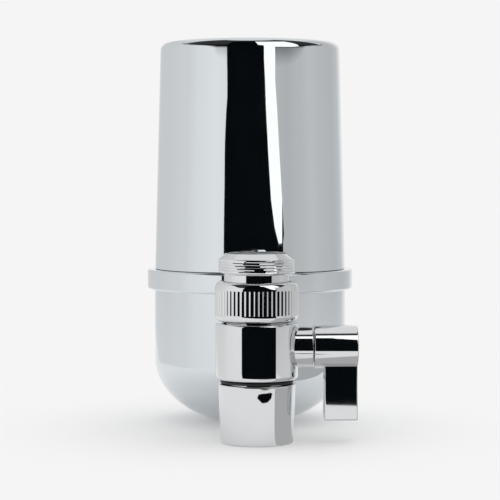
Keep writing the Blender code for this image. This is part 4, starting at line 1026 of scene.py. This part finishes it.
lever = turned("lever_barrel", rounded([
    (0.0, lever_high.x, 0.0),
    (BARREL_RADIUS, lever_high.x, BARREL_FILLET),
    (BARREL_RADIUS, lever_low.x, BARREL_FILLET),
    (0.0, lever_low.x, 0.0),
], ring=False), VALVE, "X")
blade = block(
    "lever_blade",
    (lever_high.x - BLADE_WIDTH, VALVE.y - BLADE_THICKNESS / 2.0, lever_low.z),
    (lever_high.x, VALVE.y + BLADE_THICKNESS / 2.0, VALVE.z - BLADE_ROOT), BLADE_FILLET, 4)
combine(lever, "UNION", blade)
half_side = DRIVE_SIDE / 2.0
drive_socket = block(
    "drive_socket", (lever_low.x - MM, VALVE.y - half_side, VALVE.z - half_side),
    (DRIVE_END, VALVE.y + half_side, VALVE.z + half_side), 0.0)
screw_hole = rod("screw_hole", SCREW_HOLE, lever_low.x, lever_high.x, VALVE, "X", 32)
recess = rod("recess", RECESS_RADIUS, RECESS_FLOOR, lever_high.x + MM, VALVE, "X", 96)
combine(lever, "DIFFERENCE", drive_socket, screw_hole, recess)
settle(lever, VALVE_CHROME, "lever", "lever_handle")

cover_low, cover_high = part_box("lever_screw_cover")
cover = turned("screw_cover", rounded([
    (0.0, cover_high.x, 0.0),
    (RECESS_RADIUS - GAP, cover_high.x, 0.3 * MM),
    (RECESS_RADIUS - GAP, cover_low.x, 0.1 * MM),
    (0.0, cover_low.x, 0.0),
], ring=False), VALVE, "X", SMALL_STEPS)
settle(cover, VALVE_CHROME, "lever", "lever_screw_cover")

# %% [markdown]
# ## The filter cartridge
# Lifting the cap shows the cartridge: two plastic end caps, a carbon block between them and a pleated
# sleeve round it. The pleats follow a rule, a wave of forty periods round a circle, so a tree makes them.

# %% End caps and block
END_RIM = 7.0 * MM
END_FLOOR = 2.4 * MM
END_WALL = 1.1 * MM
SEAT_SPIGOT = 5.3 * MM
SEAT_ROOF = 26.8 * MM
BLOCK_BORE = 6.6 * MM

base_low, base_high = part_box("cartridge_base")
top_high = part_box("cartridge_top")[1]
end_radius = base_high.x
rim_bore = end_radius - END_WALL
plug = BLOCK_BORE - GAP
base = turned("cartridge_foot", rounded([
    (SEAT_SPIGOT, base_low.z, 0.2 * MM),
    (SEAT_SPIGOT, SEAT_ROOF, 0.1 * MM),
    (plug, SEAT_ROOF, 0.2 * MM),
    (plug, base_low.z + END_FLOOR, 0.2 * MM),
    (rim_bore, base_low.z + END_FLOOR, 0.2 * MM),
    (rim_bore, base_low.z + END_RIM, 0.2 * MM),
    (end_radius, base_low.z + END_RIM, 0.3 * MM),
    (end_radius, base_low.z, 0.6 * MM),
][::-1]), HOUSING)
settle(base, WHITE_PLASTIC, "housing", "cartridge_base")
head = turned("cartridge_head", rounded([
    (0.0, top_high.z, 0.0),
    (end_radius - 3.0 * MM, top_high.z, 0.1 * MM),
    (end_radius - 3.3 * MM, top_high.z - 0.5 * MM, 0.1 * MM),
    (end_radius - 4.2 * MM, top_high.z - 0.5 * MM, 0.1 * MM),
    (end_radius - 4.5 * MM, top_high.z, 0.1 * MM),
    (end_radius, top_high.z, 0.6 * MM),
    (end_radius, top_high.z - END_RIM, 0.3 * MM),
    (rim_bore, top_high.z - END_RIM, 0.2 * MM),
    (rim_bore, top_high.z - END_FLOOR, 0.2 * MM),
    (plug, top_high.z - END_FLOOR, 0.2 * MM),
    (plug, top_high.z - END_RIM, 0.2 * MM),
    (0.0, top_high.z - END_RIM, 0.0),
], ring=False), HOUSING)
settle(head, WHITE_PLASTIC, "housing", "cartridge_top")
block_low, block_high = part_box("carbon_block")
core_block = ring(
    "carbon_core", block_high.x, BLOCK_BORE, block_low.z, block_high.z, 0.5 * MM, HOUSING, steps=96)
settle(core_block, PRESSED_CARBON, "housing", "carbon_block")

# %% [markdown]
# ### Pleats
# A circle is pulled into waves and drawn upwards, then thickened inwards as one folded sheet.

# %% Build the pleat tree and the sleeve
PLEATS = 40
PLEAT_DEPTH = 1.1 * MM
PLEAT_WALL = 0.7 * MM

graph, given = recipe(
    "pleated_sleeve", ("Pleats", "Int"), ("Radius", "Float"), ("Pleat Depth", "Float"), ("Foot", "Vector"),
    ("Height", "Float"), ("Material", "Material"))
circle = graph.add("GeometryNodeMeshCircle", {}, {"Vertices": given["Pleats"] * 16.0, "Radius": given["Radius"]})
spot = graph.add("GeometryNodeInputPosition")
apart = graph.add("ShaderNodeSeparateXYZ", {}, {0: spot}, "X")
across = Value(graph, apart.socket.node.outputs["Y"])
angle = graph.add("ShaderNodeMath", {"operation": "ARCTAN2"}, {0: across, 1: apart})
wave = graph.add("ShaderNodeMath", {"operation": "COSINE"}, {0: angle * given["Pleats"]})
inward = given["Pleat Depth"] * (0.5 - 0.5 * wave) / given["Radius"]
pull = graph.add("ShaderNodeVectorMath", {"operation": "SCALE"}, {0: spot, "Scale": 0.0 - inward})
folded = graph.add("GeometryNodeSetPosition", {}, {"Geometry": circle, "Offset": pull})
rise = graph.add("ShaderNodeCombineXYZ", {}, {"Z": given["Height"]})
wall = graph.add("GeometryNodeExtrudeMesh", {"mode": "EDGES"}, {"Mesh": folded, "Offset": rise, "Offset Scale": 1.0})
placed = graph.add("GeometryNodeTransform", {}, {"Geometry": wall, "Translation": given["Foot"]})
SLEEVE = serve(graph, placed, given["Material"])

pleat_low, pleat_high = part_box("sediment_sleeve")
fleece_sleeve = cooked("pleated_fleece_sleeve", SLEEVE, None, **{
    "Pleats": PLEATS, "Radius": pleat_high.x, "Pleat Depth": PLEAT_DEPTH, "Foot": (0.0, 0.0, pleat_low.z),
    "Height": pleat_high.z - pleat_low.z, "Material": WHITE_FLEECE})
fold = bmesh.new()
fold.from_mesh(fleece_sleeve.data)
bmesh.ops.recalc_face_normals(fold, faces=fold.faces[:])
outward_face = fold.faces[0]
if outward_face.normal.dot(outward_face.calc_center_median().to_2d().to_3d()) < 0.0:
    bmesh.ops.reverse_faces(fold, faces=fold.faces[:])
fold.to_mesh(fleece_sleeve.data)
fold.free()
thicken = fleece_sleeve.modifiers.new("wall", "SOLIDIFY")
thicken.thickness = PLEAT_WALL
thicken.offset = -1.0
settle(applied(fleece_sleeve), WHITE_FLEECE, "housing", "sediment_sleeve")

# %% [markdown]
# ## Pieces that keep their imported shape
# What is left sits deep inside, and its solids are fine as they are. Each gets its finish.

# %% Finish the inner pieces
INNER = {
    "valve_spindle": BARE_BRASS, "spindle_gland": BARE_BRASS, "spindle_seal_ring_outer": BLACK_RUBBER,
    "spindle_seal_ring_inner": BLACK_RUBBER, "union_seal_ring": BLACK_RUBBER, "cartridge_seal_ring": BLACK_RUBBER,
    "return_tube": STAINLESS, "outlet_seat": WHITE_PLASTIC, "lever_screw": STAINLESS,
}
for node, finish in INNER.items():
    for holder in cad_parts[node].material_slots:
        holder.material = finish
print(len(INNER), "packed nodes keep their shape")

# %% [markdown]
# ## The studio
# Chrome has no colour of its own: what one sees is the room. The photograph shows a black board in
# front of the filter, a slanted white strip on it, a high softbox on the right, pale walls close by,
# and darkness above them up to a light overhead. Where they stand was worked out from where their edges
# lie in the picture, and how bright they are from how bright the chrome is there. They are seen by
# reflections only, and leave the light on the filter to the lamp and the air.
# How near a wall stands matters as much as its brightness: the filter looks slightly down at the floor
# in its mirror, and a near wall hides the floor behind it, as it does in the photograph.

# %% Self-lit cards
def emission(name, strength, attribute=None, tint=(1.0, 1.0, 1.0)):
    """A self-lit material, of one brightness or of the brightness in an attribute."""
    glow = bpy.data.materials.new(name)
    glow.use_nodes = True
    graph = Graph(glow.node_tree)
    glow.node_tree.nodes.clear()
    sockets = {"Strength": strength, "Color": (*tint, 1.0)}
    if attribute:
        sockets["Color"] = graph.add("ShaderNodeAttribute", {"attribute_name": attribute}, {}, "Color")
    light = graph.add("ShaderNodeEmission", {}, sockets)
    graph.add("ShaderNodeOutputMaterial", {}, {"Surface": light})
    return glow


def in_reflections_only(piece):
    """Hide a studio piece from the camera and from everything but reflections."""
    piece.visible_camera = False
    piece.visible_diffuse = False
    piece.visible_transmission = False
    piece.visible_shadow = False


def card(name, corners, glow):
    """A flat card that only reflections see."""
    mesh = bpy.data.meshes.new(name)
    mesh.from_pydata(corners, [], [tuple(range(len(corners)))])
    mesh.materials.append(glow)
    in_reflections_only(link(bpy.data.objects.new(name, mesh)))


def curtain(name, columns, glow, shades=None):
    """A sheet through columns of points, each running upwards, with a brightness for each point."""
    height = len(columns[0])
    verts = [spot for column in columns for spot in column]
    faces = []
    for i in range(len(columns) - 1):
        for j in range(height - 1):
            start = i * height + j
            faces.append((start, start + 1, start + height + 1, start + height))
    mesh = bpy.data.meshes.new(name)
    mesh.from_pydata(verts, [], faces)
    if shades:
        layer = mesh.color_attributes.new("shade", "FLOAT_COLOR", "POINT")
        layer.data.foreach_set("color", [part for value in shades for part in (value, value, value, 1.0)])
    mesh.materials.append(glow)
    in_reflections_only(link(bpy.data.objects.new(name, mesh)))


def direction(azimuth, elevation):
    """Unit vector of a direction in degrees, azimuth from -Y towards +X."""
    azimuth, elevation = math.radians(azimuth), math.radians(elevation)
    level = math.cos(elevation)
    return Vector((level * math.sin(azimuth), -level * math.cos(azimuth), math.sin(elevation)))


def follow(table, place):
    """A value between the rows of a table, eased from one to the next."""
    places = sorted(table)
    for before, after in zip(places, places[1:]):
        if before <= place <= after:
            share = (place - before) / (after - before)
            share = share * share * (3.0 - 2.0 * share)
            return table[before] + (table[after] - table[before]) * share
    return table[places[-1]]


# %% [markdown]
# ### Walls
# The wall's distance, height and brightness change with direction, and are eased between a few values.

# %% Pale walls, close by
LOOKS = {
    -180: 0.95, -150: 0.7, -120: 0.74, -79: 0.8, -60: 0.9, -43: 0.95, -20: 0.9, 0: 0.8, 25: 0.6, 42: 0.56,
    55: 0.6, 71: 0.65, 90: 0.61, 112: 0.58, 130: 0.63, 150: 0.85, 180: 0.95,
}
WALL_PLACES = {-180: 400, -120: 160, -75: 125, -60: 145, -40: 250, 0: 270, 40: 250, 75: 150, 120: 170, 180: 400}
WALL_HEIGHTS = {
    -180: 330, -130: 330, -107: 221, -90: 187, -75: 169, -66: 163, -57: 158, -48: 153, -42: 151, 0: 148, 40: 147,
    62: 144, 70: 155, 82: 169, 94: 173, 105: 200, 112: 330, 180: 330,
}
WALL_FOOT_BLEND = 40.0
WALL_TOP_FADE = 7.0
LIT_BEYOND = 112
FLOOR_LOOK = 0.86
DIM = 0.02
wall_columns, wall_shades = [], []
for azimuth in range(-180, 181):
    foot = direction(azimuth, 0.0) * follow(WALL_PLACES, azimuth) * MM
    top = follow(WALL_HEIGHTS, azimuth)
    look = follow(LOOKS, azimuth)
    heights = (0.0, WALL_FOOT_BLEND, top - WALL_TOP_FADE, top, top + WALL_TOP_FADE)
    wall_columns.append([foot + Vector((0.0, 0.0, height * MM)) for height in heights])
    end = look if abs(azimuth) > LIT_BEYOND else DIM
    wall_shades += [(look + FLOOR_LOOK) / 2.0, look, look, (look + end) / 2.0, end]
curtain("studio_wall", wall_columns, emission("wall_glow", 1.0, "shade"), wall_shades)
print("wall of", len(wall_columns), "columns")

# %% [markdown]
# ### The room above
# The crown's fillet mirrors the dark room above the walls, and what faces up mirrors the light overhead.

# %% Darkness above the walls, and the light overhead
DOME_REACH = 1.0
DOME_STEP = 3
DOME_HEIGHTS = [-8.0 + 2.0 * i for i in range(49)] + [89.9]
DARK_LEFT, LEFT_SOFTNESS = -108.0, 26.0
DARK_RIGHT, RIGHT_SOFTNESS = 105.0, 14.0
OVERHEAD, OVERHEAD_SOFTNESS = 77.0, 4.0
HAZE_FROM, HAZE_SOFTNESS = 30.0, 16.0
ROOM_LIGHT, ROOM_DARK, ROOM_HAZE = 0.85, 0.01, 0.03


def step_in(value, edge, softness):
    """From 0 to 1 across an edge."""
    share = min(max((value - edge) / softness + 0.5, 0.0), 1.0)
    return share * share * (3.0 - 2.0 * share)


def dome_shade(azimuth, elevation):
    """Brightness of the room above the walls: dark in front, light behind and overhead."""
    dark = step_in(azimuth, DARK_LEFT, LEFT_SOFTNESS) * (1.0 - step_in(azimuth, DARK_RIGHT, RIGHT_SOFTNESS))
    dark *= 1.0 - step_in(elevation, OVERHEAD, OVERHEAD_SOFTNESS)
    haze = ROOM_DARK + ROOM_HAZE * step_in(elevation, HAZE_FROM, HAZE_SOFTNESS)
    return (1.0 - dark) * ROOM_LIGHT + dark * haze


dome_columns, dome_shades = [], []
for azimuth in range(-180, 181, DOME_STEP):
    dome_columns.append([direction(azimuth, height) * DOME_REACH for height in DOME_HEIGHTS])
    dome_shades += [dome_shade(azimuth, height) for height in DOME_HEIGHTS]
curtain("studio_dome", dome_columns, emission("dome_glow", 1.0, "shade"), dome_shades)
print("dome of", len(dome_columns), "columns")

# %% [markdown]
# ### Board, strip and softbox
# The board and the strip lean and widen as their mirror images do. A dim sheet just above the floor, to the right of
# the outlet, is painted shade that only reflections see, and a small dark clamp lies by the outlet.

# %% Black board, white strip, softbox, painted floor shade and a small clamp
BOARD_LEFT = Vector((-126.0, -199.0)) * MM
BOARD_RIGHT = Vector((86.0, -128.0)) * MM
CARD_GLOW = 1.35
FLOOR_SHADE_GLOW = 0.48
FLOOR_SHADE_LIFT = 0.1
CLAMP_PLACE = -86.0


def on_board(x, z, forward=0.0):
    """A point of the black board's upright plane, by its x and height in millimetres."""
    along = (x * MM - BOARD_LEFT.x) / (BOARD_RIGHT.x - BOARD_LEFT.x)
    spot = BOARD_LEFT.lerp(BOARD_RIGHT, along)
    return Vector((spot.x, spot.y + forward * MM, z * MM))


BLACK_BOARD = emission("black_board", 0.0035, tint=(0.6, 1.0, 1.25))
board_outline = [
    (-160, 0), (-160, 24), (-119, 36), (-122, 62), (-122, 69), (-120, 87), (-120, 100), (-119, 105.4), (-111.6, 117.7),
    (-105, 124), (-105, 130), (-108.6, 142.5), (-109, 420), (12, 420), (18, 160), (35, 146), (35, 132), (66, 132),
    (66, 124), (71, 113), (76, 98), (84, 78), (89, 65), (86, 62), (86, 0),
]
card("black_board", [on_board(x, z) for x, z in board_outline], BLACK_BOARD)
strip_outline = [
    (34.8, 132), (37.3, 124.6), (39.7, 113), (44.6, 97.7), (52.0, 78.4), (61.0, 68.0), (72.0, 61.5), (82.0, 61.5),
    (83.5, 78.4), (75.8, 97.7), (70.8, 113), (65.6, 124.6), (66.1, 132), (66.1, 240), (34.8, 240),
]
card("white_strip", [on_board(x, z, 1.0) for x, z in strip_outline], emission("strip_glow", CARD_GLOW))

SOFTBOX_FROM = Vector((0.0, -20.0, 125.0)) * MM
SOFTBOX_REACH = 0.38
SOFTBOX_LEFT, SOFTBOX_SPAN, SOFTBOX_COLUMNS = 7.0, 56.0, 16
SOFTBOX_FOOT, SOFTBOX_RISE, SOFTBOX_ROWS = 7.5, 48.5, 12
softbox_columns = []
for i in range(SOFTBOX_COLUMNS + 1):
    azimuth = SOFTBOX_LEFT + SOFTBOX_SPAN * i / SOFTBOX_COLUMNS
    heights = [SOFTBOX_FOOT + SOFTBOX_RISE * j / SOFTBOX_ROWS for j in range(SOFTBOX_ROWS + 1)]
    softbox_columns.append([SOFTBOX_FROM + direction(azimuth, height) * SOFTBOX_REACH for height in heights])
curtain("high_softbox", softbox_columns, emission("softbox_glow", CARD_GLOW))

# Painted shade: a dim self-lit sheet just above the floor, to the right of the outlet, which darkens the floor only
# where the chrome mirrors it.
FLOOR_SHADE_PATCH = [(6.3, -64.0), (86.8, -127.5), (200.0, -60.0), (200.0, 40.0), (60.0, -20.0), (11.0, -52.0)]
card("grey_mat", [Vector((x, y, FLOOR_SHADE_LIFT)) * MM for x, y in FLOOR_SHADE_PATCH], emission("mat_glow", FLOOR_SHADE_GLOW))
CLAMP = [(-1.0, 10.8), (0.8, 12.0), (6.0, 12.2), (18.0, 11.6), (25.0, 10.6), (22.0, 9.2), (14.0, 8.8), (6.0, 9.1)]
card("small_clamp", [Vector((x, CLAMP_PLACE, z)) * MM for x, z in CLAMP], BLACK_BOARD)
print("board, strip, softbox, painted floor shade and clamp stand round the filter")

# %% [markdown]
# ## The floor
# The floor is white paper. Paper in the photograph is lit so evenly that the shadow is faint and ends
# near the filter, so away from it the paper shows its own plain shade to the camera and to mirrors, and
# only close by does it show most of the lamp's shadow. Light on the filter still comes from real paper.

# %% Floor
FLOOR_REACH = 3.0
FLOOR_DROP = 0.05 * MM
PAPER_SHADE = 0.913
SHADOW_MIDDLE = (0.0, -0.02, 0.0)
SHADOW_NEAR, SHADOW_FAR = 0.035, 0.125
SHARE_NEAR, SHARE_FAR = 0.25, 0.97
floor_mesh = bpy.data.meshes.new("studio_floor")
floor_mesh.from_pydata(
    [(-FLOOR_REACH, -FLOOR_REACH, 0.0), (FLOOR_REACH, -FLOOR_REACH, 0.0), (FLOOR_REACH, FLOOR_REACH, 0.0),
     (-FLOOR_REACH, FLOOR_REACH, 0.0)], [], [(0, 1, 2, 3)])
floor = link(bpy.data.objects.new("studio_floor", floor_mesh))
floor.location.z = -FLOOR_DROP


def looked_at(graph):
    """1 for a ray from the camera, a mirror or through glass, 0 for the light that falls on things."""
    path = graph.add("ShaderNodeLightPath", {}, {}, "Is Camera Ray")
    seen = path
    for label in ("Is Glossy Ray", "Is Transmission Ray"):
        ray = Value(graph, path.socket.node.outputs[label])
        seen = graph.add("ShaderNodeMath", {"operation": "MAXIMUM"}, {0: seen, 1: ray})
    return seen


paper = Finish("studio_paper", Roughness=0.9)
paper.set("Base Color", paper.blend((0.9, 0.9, 0.9), (0.895, 0.895, 0.895), paper.noise(12.0)))
from_middle = paper.add("ShaderNodeVectorMath", {"operation": "DISTANCE"}, {
    0: paper.place, 1: SHADOW_MIDDLE}, "Value")
share = paper.add("ShaderNodeMapRange", {"interpolation_type": "SMOOTHSTEP"}, {
    "Value": from_middle, "From Min": SHADOW_NEAR, "From Max": SHADOW_FAR, "To Min": SHARE_NEAR,
    "To Max": SHARE_FAR})
own_shade = paper.add("ShaderNodeEmission", {}, {"Color": (1.0, 1.0, 1.0, 1.0), "Strength": PAPER_SHADE})
paper_shader = Value(paper, paper.shader.outputs[0])
shown = paper.add("ShaderNodeMixShader", {}, {0: share * looked_at(paper), 1: paper_shader, 2: own_shade})
paper.feed(paper.tree.nodes["Material Output"].inputs["Surface"], shown)
floor_mesh.materials.append(paper.material)

# %% [markdown]
# ### Air and lamp
# Even light from all round and one wide, weak sun give the soft, faint shadow of a light tent.

# %% World and lamps
AIR_LIGHT = 0.8
SUN_ENERGY = 0.67
SUN_SPREAD = math.radians(60.0)
SUN_TILT = math.radians(6.0)

world = bpy.data.worlds.new("studio_air")
bpy.context.scene.world = world
world.use_nodes = True
world.node_tree.nodes.clear()
air = Graph(world.node_tree)
level_of_air = AIR_LIGHT + (PAPER_SHADE - AIR_LIGHT) * looked_at(air)
backdrop = air.add("ShaderNodeBackground", {}, {"Color": (1.0, 1.0, 1.0, 1.0), "Strength": level_of_air})
air.add("ShaderNodeOutputWorld", {}, {"Surface": backdrop})

sun_data = bpy.data.lights.new("soft_sun", "SUN")
sun_data.energy = SUN_ENERGY
sun_data.angle = SUN_SPREAD
sun = link(bpy.data.objects.new("soft_sun", sun_data))
sun.rotation_euler = (-SUN_TILT, SUN_TILT, 0.0)
sun.visible_glossy = False
print("air at %.2f, sun at %.2f" % (AIR_LIGHT, SUN_ENERGY))

# %% [markdown]
# ## The camera
# It stands a little to the left of the diverter's axis, just above the filter's middle, and looks
# slightly down. A long lens keeps the upright edges parallel, as in the photograph.

# %% Camera
CAMERA_PLACE = Vector((-24.9, -631.2, 86.0)) * MM
CAMERA_AZIMUTH = -2.26
CAMERA_PITCH = 2.62
FOCAL_PIXELS = 1873.17
PICTURE_PIXELS = 500.0
SENSOR_WIDTH = 36.0

camera_data = bpy.data.cameras.new("photo_camera")
camera_data.sensor_width = SENSOR_WIDTH
camera_data.lens = FOCAL_PIXELS / PICTURE_PIXELS * SENSOR_WIDTH
camera = link(bpy.data.objects.new("photo_camera", camera_data))
camera.location = CAMERA_PLACE
camera.rotation_euler = (math.radians(90.0 - CAMERA_PITCH), 0.0, math.radians(CAMERA_AZIMUTH))
bpy.context.scene.camera = camera
bpy.context.scene.view_settings.view_transform = "Standard"
print("lens %.1f mm" % camera_data.lens)
